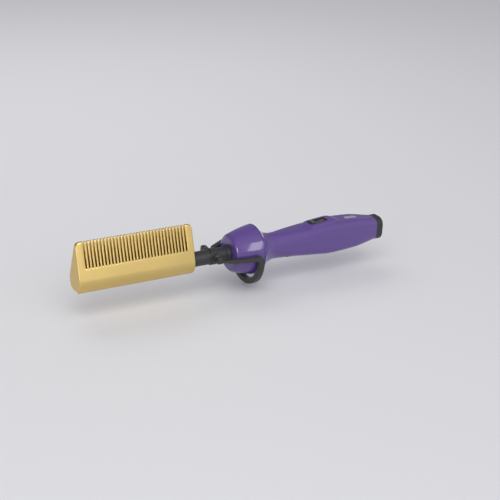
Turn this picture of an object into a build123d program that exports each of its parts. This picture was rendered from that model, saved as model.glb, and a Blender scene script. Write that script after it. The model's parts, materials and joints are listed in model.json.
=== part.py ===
from build123d import *

import os
from math import acos, atan2, cos, hypot, radians, sin

# Electric pressing comb with a folding stand, in millimetres.
# X runs along the tool: the comb is at -X and the cord leaves at +X. Z is up, the way the long teeth point.
# The origin is the mouth of the cord inlet, on the tool's axis.

os.makedirs("parts", exist_ok=True)

# ---------------------------------------------------------------- lengths along the tool
cap_length = 6.0  # visible part of the end cap
grip_length = 91.5
flare_length = 20.0  # from the grip's shoulder to the seam with the heat guard
guard_length = 21.5
neck_length = 32.5  # bare neck between the comb head and the heat guard
head_length = 92.6

cap_front_x = -cap_length
grip_front_x = cap_front_x - grip_length
seam_x = grip_front_x - flare_length
guard_front_x = seam_x - guard_length
head_rear_x = guard_front_x - neck_length
head_front_x = head_rear_x - head_length

# ---------------------------------------------------------------- clearances
fit_gap = 0.05  # radial, between round pieces fixed in each other
run_gap = 0.08  # radial, between a shaft and its bearing
slide_gap = 0.15  # between flat pieces that pass each other
part_gap = 0.3  # between pieces of different bodies

# ---------------------------------------------------------------- comb head
barrel_radius = 9.7
tip_height = 29.6  # teeth tips above the axis
tip_half_thickness = 0.8
tooth_floor = 11.2  # bottom of the slots above the axis
slot_width = 1.16
slot_pitch = 2.58
end_tooth = 5.7  # solid tooth at each end
head_corner = 3.4  # corner radius in the side view
groove_width = 1.0  # short teeth along the back
groove_depth = 1.7
slot_count = int((head_length - 2 * end_tooth - slot_width) / slot_pitch + 0.01) + 1

# ---------------------------------------------------------------- heater
heater_length = 66.0
heater_width = 7.0
heater_thickness = 1.8
sleeve_wall = 0.5
wedge_thickness = 2.6
pocket_clear = 3.0  # free length at the blind end of the pocket
lead_radius = 0.75
lead_spacing = 2.6  # heater leads from the axis, each side
sensor_radius = 1.1
sensor_length = 6.0
sensor_lead_radius = 0.4
sensor_lead_spacing = 0.6
fuse_radius = 1.5
fuse_length = 9.0
lead_landing = 6.0  # length of each lead that lies on the board

# ---------------------------------------------------------------- neck
neck_radius = 5.7
neck_wall = 1.0
neck_socket = 12.0  # depth of the neck in the head
neck_tail = 35.0  # length of the neck behind the guard's front face
head_ring_width = 2.5
head_ring_wall = 0.6
bush_wall = 0.9
bush_length = 4.0  # part of the bush behind the guard's front face
bush_nose = 3.0  # part of the bush ahead of it
head_screw_radius = 1.5
head_screw_sink = 0.6  # end of the screw below the head's surface
drive_depth = 1.2  # recess for the key
drive_radius = 0.7
neck_screw_reach = 1.0  # hole in the head starts inside the socket

# ---------------------------------------------------------------- stand
pivot_setback = 14.0  # pivot axis ahead of the guard's front face
pivot_height = 2.0  # pivot axis above the tool's axis
arm_thickness = 4.4  # across the tool
arm_height = 3.2
arm_front_low = 3.3  # underside of the arms below the pivot axis, at the pivot
arm_rear_low = 2.0  # and at the hoop's rear face
arm_neck_height = 1.8  # slim stretch between the lug and the full arm
arm_neck_length = 6.5
arm_neck_ramp = 2.5
lug_length = 4.4
lug_height = 5.2
lug_corner = 0.9
eye_face = 9.6  # inner face of the arms at the pivot, from the middle
hoop_outer_radius = 24.0
hoop_width = 4.7  # along the tool
hoop_drop = 2.1  # centre of the hoop's half circle below the tool's axis
foot_width = 10.0  # flat that the hoop stands on
leg_corner = 2.6
arm_bend = 6.0
hoop_setback = 18.9  # hoop's rear face behind the guard's front face
washer_thickness = 0.4
pin_radius = 1.15
pin_thread_radius = 0.85
pin_head_radius = 1.8
pin_head_height = 0.6
pin_engagement = 2.6
bracket_width = 5.4
bracket_wall = 0.7
ear_radius = 2.2

# ---------------------------------------------------------------- heat guard and grip
wall = 1.8
guard_front_radius = 14.1
guard_shoulder = 3.5
flange_radius = 19.6
flange_band = 2.3
waist_radius = 9.8
grip_root = 4.0  # how far the grip's form starts inside the flare
root_radius = waist_radius + 0.2
guard_lip = 2.0
guard_lip_wall = 0.8
web_setback = 5.0  # bulkhead behind the seam
web_thickness = 2.0
anchor_flange = 3.0
anchor_hub_radius = 7.3
post_radius = 2.6
guard_screw_radius = 1.1
guard_screw_length = 11.0
guard_screw_head_radius = 2.2
guard_screw_head = 1.6

# ---------------------------------------------------------------- switch and indicator
switch_setback = 53.0  # middle of the switch ahead of the end cap
switch_length = 16.0
switch_width = 7.4
switch_top = 14.4
switch_tilt_angle = 5.0  # the switch and its bed follow the slope of the grip
switch_floor = 3.4
switch_wall = 0.8
switch_base = 1.2
island_length = 27.0  # raised bed of the switch on the upper shell
island_width = 11.4
island_corner = 4.6
island_edge = 1.4
island_depth = 8.0
island_drop = 0.35  # bed below the rim of the switch
switch_corner = 1.2
switch_edge = 0.4
rocker_rest_angle = 9.0  # rear end pressed in at rest
rocker_pivot_drop = 2.6  # pivot below the rim of the switch
rocker_depth = 3.4  # below the pivot
rocker_rise = 2.8  # ends above the pivot
rocker_shoulder = 0.6  # lower corner of each end below the pivot
rocker_keel = 0.45  # half length of the keel, as a share of the rocker's
rocker_pin_radius = 0.75
contact_pitch = 6.0
contact_half_length = 0.4
contact_half_width = 1.6
indicator_setback = 21.8  # middle of the indicator ahead of the end cap
indicator_length = 11.5
indicator_width = 4.4
indicator_stand = 0.25  # lens above the grip
guide_radius = 1.2  # light guide under the lens
led_radius = 1.5
led_height = 3.6

# ---------------------------------------------------------------- circuit board
board_front_setback = 15.5  # behind the grip's shoulder
board_width = 14.0
board_thickness = 1.6
board_top = -lead_radius
board_screw_radius = 0.9
board_screw_depth = 6.2  # below the board's top
board_screw_head_radius = 1.7
board_screw_head = 1.1
board_screw_front = 9.0  # behind the board's front edge
board_screw_rear = 8.4  # ahead of the board's rear edge
board_post_radius = 2.2
capacitor_gap = 2.0  # behind the switch
capacitor_length = 10.0
capacitor_width = 6.8
capacitor_height = 7.4
triac_gap = 3.4  # ahead of the switch
triac_length = 3.2
triac_height = 6.0
triac_inner_y = 3.6
triac_outer_y = 6.6
triac_tab = 0.6
chip_length = 6.0
chip_height = 1.6
resistor_radius = 1.1
resistor_length = 6.0
resistor_margin = 1.6  # from the board's edge

# ---------------------------------------------------------------- screws of the grip
grip_screw_radius = 1.25
grip_screw_head_radius = 2.4
grip_screw_head = 1.6
grip_drive_radius = 0.9
screw_seat_z = -6.0  # underside seat of the screw heads
screw_bite = 5.0  # length of thread in the top shell
front_screw_setback = 6.6
front_screw_offset = 6.2
boss_radius = 2.8

# ---------------------------------------------------------------- end cap and swivel
cap_edge = 1.3
cap_wall = 2.5
cap_cavity = 5.9  # half size of the cap's square bore
cavity_corner = 3.2
cap_spigot = 3.0
cord_bore_radius = 2.75
rotor_nose_radius = 4.9
rotor_flange_radius = 5.7
rotor_flange = 2.0
rotor_hub_radius = 3.7
rotor_length = 12.6
rotor_end_gap = 0.8  # from the rotor to the brush holder
ring_wall = 0.75
ring_width = 1.4
ring_pitch = 2.6
ring_margin = 0.6  # from the retainer to the first ring
leaf_gap = 0.9  # from a ring to the middle of its leaf
retainer_thickness = 1.6
holder_thickness = 2.4
leaf_thickness = 0.4
leaf_height = 2.6
brush_height = 1.4
holder_half = 6.4
mains_lead_offset = 4.6  # mains leads from the axis, each side

# ---------------------------------------------------------------- grip sections
# (x, half width, top, bottom, corner radius)
switch_x = cap_front_x - switch_setback
rocker_pivot_z = switch_top - rocker_pivot_drop
switch_tilt = radians(switch_tilt_angle)
switch_plane = Plane(
    origin=(switch_x, 0, rocker_pivot_z),
    x_dir=(cos(switch_tilt), 0, sin(switch_tilt)),
    z_dir=(-sin(switch_tilt), 0, cos(switch_tilt)),
)
indicator_x = cap_front_x - indicator_setback
grip_sections = [
    (grip_front_x - grip_root, root_radius, root_radius, root_radius, root_radius - 0.05),
    (grip_front_x + 13.0, 10.6, 10.4, 10.1, 7.2),
    (switch_x - switch_length / 2, 11.3, 11.5, 10.8, 4.8),
    (switch_x + switch_length / 2, 11.6, 12.9, 11.8, 4.3),
    (cap_front_x - 22.0, 10.8, 12.3, 11.0, 4.2),
    (cap_front_x, 8.4, 9.9, 8.7, 6.0),
]
cap_half_width, cap_top, cap_bottom, cap_corner = grip_sections[-1][1:]


def rod(start_x, end_x, radius, y=0.0, z=0.0, mode=Mode.ADD):
    """Cylinder along X from start_x to end_x, added to the part being built."""
    with BuildSketch(Plane.YZ.offset(start_x)) as face:
        with Locations((y, z)):
            Circle(radius)
    extrude(face.sketch, amount=end_x - start_x, mode=mode)


def pipe(start_x, end_x, outer, inner):
    """Tube along X, added to the part being built."""
    with BuildSketch(Plane.YZ.offset(start_x)) as face:
        Circle(outer)
        Circle(inner, mode=Mode.SUBTRACT)
    extrude(face.sketch, amount=end_x - start_x)


def block(low, high, mode=Mode.ADD):
    """Box between two corners, added to the part being built."""
    size = [b - a for a, b in zip(low, high)]
    middle = [(a + b) / 2 for a, b in zip(low, high)]
    with Locations(Location(middle)):
        Box(*size, mode=mode)


def post(x, y, low_z, high_z, radius, mode=Mode.ADD):
    """Upright cylinder, added to the part being built."""
    with BuildSketch(Plane.XY.offset(low_z)) as face:
        with Locations((x, y)):
            Circle(radius)
    extrude(face.sketch, amount=high_z - low_z, mode=mode)


def rounded_section(x, half_width, top, bottom, corner, inset=0.0):
    """One cross-section of the grip or the cap, made smaller all round by inset."""
    width = 2 * (half_width - inset)
    height = top + bottom - 2 * inset
    radius = min(corner - 0.8 * inset, width / 2 - 0.05, height / 2 - 0.05)
    with BuildSketch(Plane.YZ.offset(x)) as face:
        with Locations((0, (top - bottom) / 2)):
            RectangleRounded(width, height, radius)
    return face.sketch


def grip_loft(inset):
    """The grip's form through all its sections, added to the part being built."""
    loft([rounded_section(*section, inset=inset) for section in grip_sections])


# ================================================================ comb head
tip_angle = atan2(tip_height, tip_half_thickness)
tangent_angle = tip_angle - acos(barrel_radius / hypot(tip_height, tip_half_thickness))
flank_y = barrel_radius * cos(tangent_angle)
flank_z = barrel_radius * sin(tangent_angle)
first_slot_x = head_rear_x - end_tooth - slot_width / 2
slots_middle_x = first_slot_x - slot_pitch * (slot_count - 1) / 2
socket_floor_x = head_rear_x - neck_socket
pocket_length = heater_length + pocket_clear
pocket_height = heater_thickness + 2 * sleeve_wall + wedge_thickness
pocket_width = heater_width + 2 * sleeve_wall + 2 * slide_gap
socket_radius = neck_radius + fit_gap
sensor_z = pocket_height / 2 + sleeve_wall + sensor_radius

with BuildPart() as comb_head:
    with BuildSketch(Plane.YZ.offset(head_front_x)):
        Circle(barrel_radius)
        with BuildLine():
            Polyline(
                (-flank_y, flank_z),
                (-tip_half_thickness, tip_height),
                (tip_half_thickness, tip_height),
                (flank_y, flank_z),
                close=True,
            )
        make_face()
    extrude(amount=head_length)
    with BuildSketch(Plane.XZ.offset(-2 * barrel_radius)):
        with Locations(((head_front_x + head_rear_x) / 2, (tip_height - barrel_radius) / 2)):
            RectangleRounded(head_length, tip_height + barrel_radius, head_corner)
    extrude(amount=4 * barrel_radius, mode=Mode.INTERSECT)
    with BuildSketch(Plane.XY.offset(tooth_floor)):
        with Locations((slots_middle_x, 0)):
            with GridLocations(slot_pitch, 1, slot_count, 1):
                Rectangle(slot_width, 4 * barrel_radius)
    extrude(amount=tip_height, mode=Mode.SUBTRACT)
    with BuildSketch(Plane.XY.offset(groove_depth - barrel_radius)):
        with Locations((slots_middle_x, 0)):
            with GridLocations(slot_pitch, 1, slot_count, 1):
                Rectangle(groove_width, 4 * barrel_radius)
    extrude(amount=-2 * groove_depth, mode=Mode.SUBTRACT)
    rod(head_rear_x, socket_floor_x, socket_radius, mode=Mode.SUBTRACT)
    block(
        (socket_floor_x - pocket_length, -pocket_width / 2, -pocket_height / 2),
        (socket_floor_x, pocket_width / 2, pocket_height / 2),
        mode=Mode.SUBTRACT,
    )
    rod(
        socket_floor_x,
        socket_floor_x - sensor_length - slide_gap,
        sensor_radius + fit_gap,
        z=sensor_z,
        mode=Mode.SUBTRACT,
    )
    head_screw_x = socket_floor_x + neck_socket / 2
    with BuildSketch(Plane.XY.offset(neck_screw_reach - socket_radius)):
        with Locations((head_screw_x, 0)):
            Circle(head_screw_radius + fit_gap)
    extrude(amount=-barrel_radius, mode=Mode.SUBTRACT)
comb_head.part.label = "comb_head"

# ---------------------------------------------------------------- what the head holds
heater_front_x = socket_floor_x - heater_length
heater_top = pocket_height / 2 - sleeve_wall
heater_bottom = heater_top - heater_thickness
sleeve_bottom = heater_bottom - sleeve_wall
sleeve_half_width = heater_width / 2 + sleeve_wall

with BuildPart() as heater_plate:
    block(
        (heater_front_x, -heater_width / 2, heater_bottom),
        (socket_floor_x, heater_width / 2, heater_top),
    )
heater_plate.part.label = "heater_plate"

with BuildPart() as heater_sleeve:
    block(
        (heater_front_x, -sleeve_half_width, sleeve_bottom),
        (socket_floor_x, sleeve_half_width, pocket_height / 2),
    )
    block(
        (heater_front_x, -heater_width / 2, heater_bottom),
        (socket_floor_x, heater_width / 2, heater_top),
        mode=Mode.SUBTRACT,
    )
heater_sleeve.part.label = "heater_sleeve"

with BuildPart() as heater_wedge:
    block(
        (heater_front_x, -heater_width / 2, -pocket_height / 2),
        (socket_floor_x, heater_width / 2, sleeve_bottom),
    )
heater_wedge.part.label = "heater_wedge"

with BuildPart() as temperature_sensor:
    rod(socket_floor_x - sensor_length, socket_floor_x, sensor_radius, z=sensor_z)
temperature_sensor.part.label = "temperature_sensor"

# ================================================================ neck
neck_front_x = socket_floor_x
neck_rear_x = guard_front_x + neck_tail
neck_bore_radius = neck_radius - neck_wall

with BuildPart() as neck_tube:
    pipe(neck_front_x, neck_rear_x, neck_radius, neck_bore_radius)
    with BuildSketch(Plane.XY):
        with Locations((head_screw_x, 0)):
            Circle(head_screw_radius + fit_gap)
    extrude(amount=-2 * neck_radius, mode=Mode.SUBTRACT)
neck_tube.part.label = "neck_tube"

with BuildPart() as head_ring:
    pipe(head_rear_x, head_rear_x + head_ring_width, neck_radius + head_ring_wall, neck_radius + fit_gap)
head_ring.part.label = "head_ring"

with BuildPart() as head_screw:
    screw_low_z = head_screw_sink - barrel_radius
    post(head_screw_x, 0, screw_low_z, -neck_bore_radius, head_screw_radius)
    post(head_screw_x, 0, screw_low_z, screw_low_z + drive_depth, drive_radius, mode=Mode.SUBTRACT)
head_screw.part.label = "head_screw"

fuse_z = -(neck_bore_radius - fuse_radius - fit_gap)
fuse_x = (head_rear_x + guard_front_x) / 2
with BuildPart() as thermal_fuse:
    rod(fuse_x - fuse_length / 2, fuse_x + fuse_length / 2, fuse_radius, z=fuse_z)
    fillet(thermal_fuse.edges(), radius=0.4)
thermal_fuse.part.label = "thermal_fuse"

board_front_x = grip_front_x + board_front_setback
holder_rear_x = -rotor_length - rotor_end_gap
holder_front_x = holder_rear_x - holder_thickness
rear_screw_x = holder_front_x - boss_radius - part_gap
board_rear_x = rear_screw_x - boss_radius - part_gap

with BuildPart() as heater_leads:
    for side in (-1, 1):
        rod(socket_floor_x, board_front_x + lead_landing, lead_radius, y=side * lead_spacing)
heater_leads.part.label = "heater_leads"

sensor_lead_z = neck_bore_radius - sensor_lead_radius - 0.3
sensor_landing_z = board_top + sensor_lead_radius
with BuildPart() as sensor_leads:
    for side in (-1, 1):
        y = side * sensor_lead_spacing
        with BuildLine() as route:
            FilletPolyline(
                (socket_floor_x, y, sensor_lead_z),
                (neck_rear_x + 4.0, y, sensor_lead_z),
                (board_front_x - 4.0, y, sensor_landing_z),
                (board_front_x + lead_landing, y, sensor_landing_z),
                radius=5.0,
            )
        with BuildSketch(Plane.YZ.offset(socket_floor_x)) as wire:
            with Locations((y, sensor_lead_z)):
                Circle(sensor_lead_radius)
        sweep(wire.sketch, path=route.line)
sensor_leads.part.label = "sensor_leads"

# ================================================================ stand
pivot_x = guard_front_x - pivot_setback
hoop_rear_x = guard_front_x + hoop_setback
hoop_front_x = hoop_rear_x - hoop_width
arm_outer_y = hoop_outer_radius
arm_inner_y = hoop_outer_radius - arm_thickness
eye_outer_y = eye_face + arm_thickness
foot_z = -hoop_drop - (hoop_outer_radius**2 - (foot_width / 2) ** 2) ** 0.5
arm_slope = (arm_front_low - arm_rear_low) / (hoop_rear_x - pivot_x)
arm_front_z = pivot_height - arm_front_low
arm_rear_z = pivot_height - arm_rear_low
neck_end_x = pivot_x + arm_neck_length
neck_end_z = arm_front_z + arm_slope * arm_neck_length
ramp_end_x = neck_end_x + arm_neck_ramp
ramp_end_z = neck_end_z + arm_slope * arm_neck_ramp
lug_front_x = pivot_x - lug_length / 2
bend_x = pivot_x + pin_head_radius + 2.0
ear_face = eye_face - washer_thickness - slide_gap

with BuildPart() as stand:
    # both arms, from above
    for side in (-1, 1):
        with BuildSketch(Plane.XY.offset(arm_front_z - arm_height)) as plan:
            with BuildLine():
                Polyline(
                    (lug_front_x, side * eye_face),
                    (bend_x, side * eye_face),
                    (hoop_front_x, side * arm_inner_y),
                    (hoop_rear_x, side * arm_inner_y),
                    (hoop_rear_x, side * arm_outer_y),
                    (hoop_front_x - 0.6, side * arm_outer_y),
                    (bend_x - 0.6, side * eye_outer_y),
                    (lug_front_x, side * eye_outer_y),
                    close=True,
                )
            make_face()
            bends = plan.vertices().filter_by_position(Axis.X, bend_x - 2, hoop_front_x + 1)
            fillet(bends, radius=arm_bend)
        extrude(plan.sketch, amount=4 * arm_height)
    # their outline from the side
    with BuildSketch(Plane.XZ.offset(-2 * hoop_outer_radius)) as profile:
        with BuildLine():
            Polyline(
                (pivot_x, arm_front_z),
                (hoop_rear_x, arm_rear_z),
                (hoop_rear_x, arm_rear_z + arm_height),
                (ramp_end_x, ramp_end_z + arm_height),
                (neck_end_x, neck_end_z + arm_neck_height),
                (pivot_x, arm_front_z + arm_neck_height),
                close=True,
            )
        make_face()
        with Locations((pivot_x, arm_front_z + lug_height / 2)):
            RectangleRounded(lug_length, lug_height, lug_corner)
    extrude(profile.sketch, amount=4 * hoop_outer_radius, mode=Mode.INTERSECT)
    # the hoop, from the front
    with BuildSketch(Plane.YZ.offset(hoop_front_x)) as ring:
        with Locations((0, -hoop_drop)):
            Circle(hoop_outer_radius)
            Circle(hoop_outer_radius - arm_thickness, mode=Mode.SUBTRACT)
            with Locations((0, hoop_outer_radius)):
                Rectangle(3 * hoop_outer_radius, 2 * hoop_outer_radius, mode=Mode.SUBTRACT)
        for side in (-1, 1):
            leg_top = arm_rear_z + arm_height - arm_slope * hoop_width
            with Locations((side * (arm_outer_y - arm_thickness / 2), (leg_top - hoop_drop) / 2)):
                Rectangle(arm_thickness, leg_top + hoop_drop)
    extrude(ring.sketch, amount=hoop_width)
    block(
        (hoop_front_x - 1, -foot_width, foot_z - hoop_outer_radius),
        (hoop_rear_x + 1, foot_width, foot_z),
        mode=Mode.SUBTRACT,
    )
    leg_corners = stand.edges().filter_by(Axis.Y)
    leg_corners = leg_corners.filter_by_position(Axis.X, hoop_rear_x - 0.1, hoop_rear_x + 0.1)
    fillet(leg_corners.sort_by(Axis.Z)[-2:], radius=leg_corner)
    for side in (-1, 1):
        with BuildSketch(Plane.XZ.offset(-side * (eye_face - 1))) as hole:
            with Locations((pivot_x, pivot_height)):
                Circle(pin_radius + run_gap)
        extrude(hole.sketch, amount=-side * (arm_thickness + 2), mode=Mode.SUBTRACT)
stand.part.label = "stand"

with BuildPart() as stand_bracket:
    pipe(
        pivot_x - bracket_width / 2,
        pivot_x + bracket_width / 2,
        neck_radius + fit_gap + bracket_wall,
        neck_radius + fit_gap,
    )
    for side in (-1, 1):
        with BuildSketch(Plane.XZ.offset(-side * neck_radius)) as ear:
            with Locations((pivot_x, pivot_height)):
                Circle(ear_radius)
        extrude(ear.sketch, amount=-side * (ear_face - neck_radius))
    rod(pivot_x - bracket_width, pivot_x + bracket_width, neck_radius + fit_gap, mode=Mode.SUBTRACT)
    for side in (-1, 1):
        with BuildSketch(Plane.XZ.offset(-side * (ear_face + 1))) as tapped:
            with Locations((pivot_x, pivot_height)):
                Circle(pin_thread_radius + fit_gap)
        extrude(tapped.sketch, amount=side * (pin_engagement + 1), mode=Mode.SUBTRACT)
stand_bracket.part.label = "stand_bracket"

with BuildPart() as stand_pins:
    for side in (-1, 1):
        with BuildSketch(Plane.XZ.offset(-side * ear_face)) as shank:
            with Locations((pivot_x, pivot_height)):
                Circle(pin_thread_radius)
        extrude(shank.sketch, amount=side * (pin_engagement - 0.2))
        with BuildSketch(Plane.XZ.offset(-side * ear_face)) as shoulder:
            with Locations((pivot_x, pivot_height)):
                Circle(pin_radius)
        shoulder_length = eye_outer_y + slide_gap - ear_face
        extrude(shoulder.sketch, amount=-side * shoulder_length)
        with BuildSketch(Plane.XZ.offset(-side * (eye_outer_y + slide_gap))) as head:
            with Locations((pivot_x, pivot_height)):
                Circle(pin_head_radius)
        extrude(head.sketch, amount=-side * pin_head_height)
    outer_rims = stand_pins.edges().filter_by(GeomType.CIRCLE).sort_by(Axis.Y)
    fillet([outer_rims[0], outer_rims[-1]], radius=0.6 * pin_head_height)
stand_pins.part.label = "stand_pins"

with BuildPart() as stand_washers:
    for side in (-1, 1):
        with BuildSketch(Plane.XZ.offset(-side * ear_face)) as disc:
            with Locations((pivot_x, pivot_height)):
                Circle(ear_radius)
                Circle(pin_radius + fit_gap, mode=Mode.SUBTRACT)
        extrude(disc.sketch, amount=-side * washer_thickness)
stand_washers.part.label = "stand_washers"

# ================================================================ heat guard
bush_outer_radius = neck_radius + fit_gap + bush_wall
guard_opening_radius = bush_outer_radius + fit_gap
web_front_x = seam_x + web_setback
post_offset = anchor_hub_radius + guard_screw_head_radius + slide_gap
anchor_flange_radius = post_offset + guard_screw_head_radius + 0.6
anchor_front_x = web_front_x - anchor_flange
guard_inner_front_x = guard_front_x + wall
guard_slope = (flange_radius - guard_front_radius) / guard_length
lip_outer_radius = flange_radius - wall - slide_gap

with BuildPart() as heat_guard:
    with BuildSketch(Plane.XZ) as outline:
        with BuildLine():
            Polyline(
                (guard_front_x, 0),
                (guard_front_x, guard_front_radius),
                (seam_x, flange_radius),
                (seam_x, 0),
                close=True,
            )
        make_face()
        shoulder_corner = outline.vertices().sort_by(Axis.X)[:2].sort_by(Axis.Y)[-1]
        fillet(shoulder_corner, radius=guard_shoulder)
    revolve(axis=Axis.X)
    with BuildSketch(Plane.XZ) as inside:
        with BuildLine():
            Polyline(
                (guard_inner_front_x, 0),
                (guard_inner_front_x, guard_front_radius + guard_slope * wall - wall),
                (seam_x, flange_radius - wall),
                (seam_x, 0),
                close=True,
            )
        make_face()
        inner_corner = inside.vertices().sort_by(Axis.X)[:2].sort_by(Axis.Y)[-1]
        fillet(inner_corner, radius=guard_shoulder - wall / 2)
    revolve(axis=Axis.X, mode=Mode.SUBTRACT)
    pipe(seam_x - wall, seam_x + guard_lip, lip_outer_radius, lip_outer_radius - guard_lip_wall)
    pipe(seam_x - 2 * wall, seam_x - wall / 2, flange_radius - wall, lip_outer_radius - guard_lip_wall)
    for side in (-1, 1):
        rod(guard_inner_front_x - wall / 2, anchor_front_x, post_radius, z=side * post_offset)
        rod(
            anchor_front_x,
            anchor_front_x - guard_screw_length - 1,
            guard_screw_radius + fit_gap,
            z=side * post_offset,
            mode=Mode.SUBTRACT,
        )
    rod(guard_front_x, guard_inner_front_x, guard_opening_radius, mode=Mode.SUBTRACT)
heat_guard.part.label = "heat_guard"

with BuildPart() as guard_bush:
    pipe(guard_front_x - bush_nose, guard_front_x + bush_length, bush_outer_radius, neck_radius + fit_gap)
guard_bush.part.label = "guard_bush"

with BuildPart() as neck_anchor:
    pipe(anchor_front_x, web_front_x, anchor_flange_radius, neck_radius + fit_gap)
    pipe(web_front_x, neck_rear_x, anchor_hub_radius, neck_radius + fit_gap)
    for side in (-1, 1):
        rod(
            anchor_front_x,
            web_front_x,
            guard_screw_radius + fit_gap,
            z=side * post_offset,
            mode=Mode.SUBTRACT,
        )
neck_anchor.part.label = "neck_anchor"

with BuildPart() as guard_screws:
    for side in (-1, 1):
        rod(anchor_front_x - guard_screw_length, web_front_x, guard_screw_radius, z=side * post_offset)
        rod(web_front_x, web_front_x + guard_screw_head, guard_screw_head_radius, z=side * post_offset)
guard_screws.part.label = "guard_screws"

# ================================================================ grip shells
flare_start_x = seam_x + flange_band
front_screw_x = grip_front_x + front_screw_setback
screw_places = [
    (front_screw_x, -front_screw_offset),
    (front_screw_x, front_screw_offset),
    (rear_screw_x, 0),
]

with BuildPart() as island:
    with BuildSketch(switch_plane.offset(rocker_pivot_drop - island_drop)):
        RectangleRounded(island_length, island_width, island_corner)
    extrude(amount=-island_depth)
    fillet(island.faces().sort_by(Axis.Z)[-1].edges(), radius=island_edge)
island.part.label = "island"

with BuildPart() as handle_form:
    with BuildSketch(Plane.XZ):
        with BuildLine():
            Polyline(
                (grip_front_x, waist_radius),
                (grip_front_x, 0),
                (seam_x, 0),
                (seam_x, flange_radius),
                (flare_start_x, flange_radius),
            )
            TangentArc((grip_front_x, waist_radius), (flare_start_x, flange_radius), tangent=(-1, 0))
        make_face()
    revolve(axis=Axis.X)
    grip_loft(0.0)
    add(island.part)
handle_form.part.label = "handle_form"

with BuildPart() as handle_cavity:
    with BuildSketch(Plane.XZ):
        with BuildLine():
            Polyline(
                (grip_front_x, waist_radius - wall),
                (grip_front_x, 0),
                (seam_x, 0),
                (seam_x, flange_radius - wall),
                (flare_start_x, flange_radius - wall),
            )
            TangentArc(
                (grip_front_x, waist_radius - wall),
                (flare_start_x, flange_radius - wall),
                tangent=(-1, 0),
            )
        make_face()
    revolve(axis=Axis.X)
    rod(web_front_x, web_front_x + web_thickness, flange_radius, mode=Mode.SUBTRACT)
    grip_loft(wall)
    rod(web_front_x, web_front_x + web_thickness, anchor_hub_radius + slide_gap)
    for side in (-1, 1):
        rod(
            web_front_x,
            web_front_x + web_thickness,
            guard_screw_head_radius + slide_gap,
            z=side * post_offset,
        )
handle_cavity.part.label = "handle_cavity"

board_bottom = board_top - board_thickness
board_screw_places = [(board_front_x + board_screw_front, 0), (board_rear_x - board_screw_rear, 0)]

with BuildPart() as bottom_posts:
    for x, y in screw_places:
        post(x, y, -2 * flange_radius, 0, boss_radius)
    for x, y in board_screw_places:
        post(x, y, -2 * flange_radius, board_bottom, board_post_radius)
    block(
        (holder_front_x, -cap_half_width, -2 * flange_radius),
        (holder_rear_x, cap_half_width, -holder_half),
    )
    add(handle_form.part, mode=Mode.INTERSECT)
bottom_posts.part.label = "bottom_posts"

with BuildPart() as grip_bottom:
    add(handle_form.part)
    add(handle_cavity.part, mode=Mode.SUBTRACT)
    split(bisect_by=Plane.XY, keep=Keep.BOTTOM)
    add(bottom_posts.part)
    for x, y in screw_places:
        post(x, y, -2 * flange_radius, screw_seat_z, grip_screw_head_radius + slide_gap, mode=Mode.SUBTRACT)
        post(x, y, -2 * flange_radius, 1, grip_screw_radius + slide_gap, mode=Mode.SUBTRACT)
    for x, y in board_screw_places:
        post(
            x,
            y,
            board_top - board_screw_depth - 2 * part_gap,
            board_bottom,
            board_screw_radius + fit_gap,
            mode=Mode.SUBTRACT,
        )
grip_bottom.part.label = "grip_bottom"

with BuildPart() as top_posts:
    for x, y in screw_places:
        post(x, y, 0, 2 * flange_radius, boss_radius)
    add(handle_form.part, mode=Mode.INTERSECT)
top_posts.part.label = "top_posts"

with BuildPart() as grip_top:
    add(handle_form.part)
    add(handle_cavity.part, mode=Mode.SUBTRACT)
    split(bisect_by=Plane.XY, keep=Keep.TOP)
    add(top_posts.part)
    for x, y in screw_places:
        post(x, y, 0, screw_bite + 0.5, grip_screw_radius + fit_gap, mode=Mode.SUBTRACT)
    with BuildSketch(switch_plane.offset(-rocker_pivot_z)):
        Rectangle(switch_length + 2 * slide_gap, switch_width + 2 * slide_gap)
    extrude(amount=2 * switch_top, mode=Mode.SUBTRACT)
    with BuildSketch(Plane.XY.offset(cap_top - wall - part_gap)):
        with Locations((indicator_x, 0)):
            SlotOverall(indicator_length + 2 * fit_gap, indicator_width + 2 * fit_gap)
    extrude(amount=2 * switch_top, mode=Mode.SUBTRACT)
grip_top.part.label = "grip_top"

with BuildPart() as grip_screws:
    for x, y in screw_places:
        post(x, y, screw_seat_z - grip_screw_head, screw_seat_z, grip_screw_head_radius)
        post(x, y, screw_seat_z, screw_bite, grip_screw_radius)
        drive_top_z = screw_seat_z - grip_screw_head / 2
        post(x, y, screw_seat_z - grip_screw_head, drive_top_z, grip_drive_radius, mode=Mode.SUBTRACT)
grip_screws.part.label = "grip_screws"

# ================================================================ circuit board and what it carries
with BuildPart() as circuit_board:
    block(
        (board_front_x, -board_width / 2, board_bottom),
        (board_rear_x, board_width / 2, board_top),
    )
    for x, y in board_screw_places:
        post(x, y, board_bottom, board_top, board_screw_radius + fit_gap, mode=Mode.SUBTRACT)
circuit_board.part.label = "circuit_board"

with BuildPart() as board_screws:
    for x, y in board_screw_places:
        post(x, y, board_top - board_screw_depth, board_top, board_screw_radius)
        post(x, y, board_top, board_top + board_screw_head, board_screw_head_radius)
board_screws.part.label = "board_screws"

capacitor_x = switch_x + switch_length / 2 + capacitor_gap + capacitor_length / 2
with BuildPart() as film_capacitor:
    block(
        (capacitor_x - capacitor_length / 2, -capacitor_width / 2, board_top),
        (capacitor_x + capacitor_length / 2, capacitor_width / 2, board_top + capacitor_height),
    )
    fillet(film_capacitor.edges().filter_by(Axis.Z), radius=0.8)
film_capacitor.part.label = "film_capacitor"

triac_rear_x = switch_x - switch_length / 2 - triac_gap
triac_front_x = triac_rear_x - triac_length
with BuildPart() as triac:
    block((triac_front_x, triac_inner_y, board_top), (triac_rear_x, triac_outer_y, board_top + triac_height))
    block(
        (triac_front_x, triac_outer_y - triac_tab, board_top + triac_height / 3),
        (triac_front_x + triac_tab, triac_outer_y, board_top + triac_height),
        mode=Mode.SUBTRACT,
    )
triac.part.label = "triac"

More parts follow.
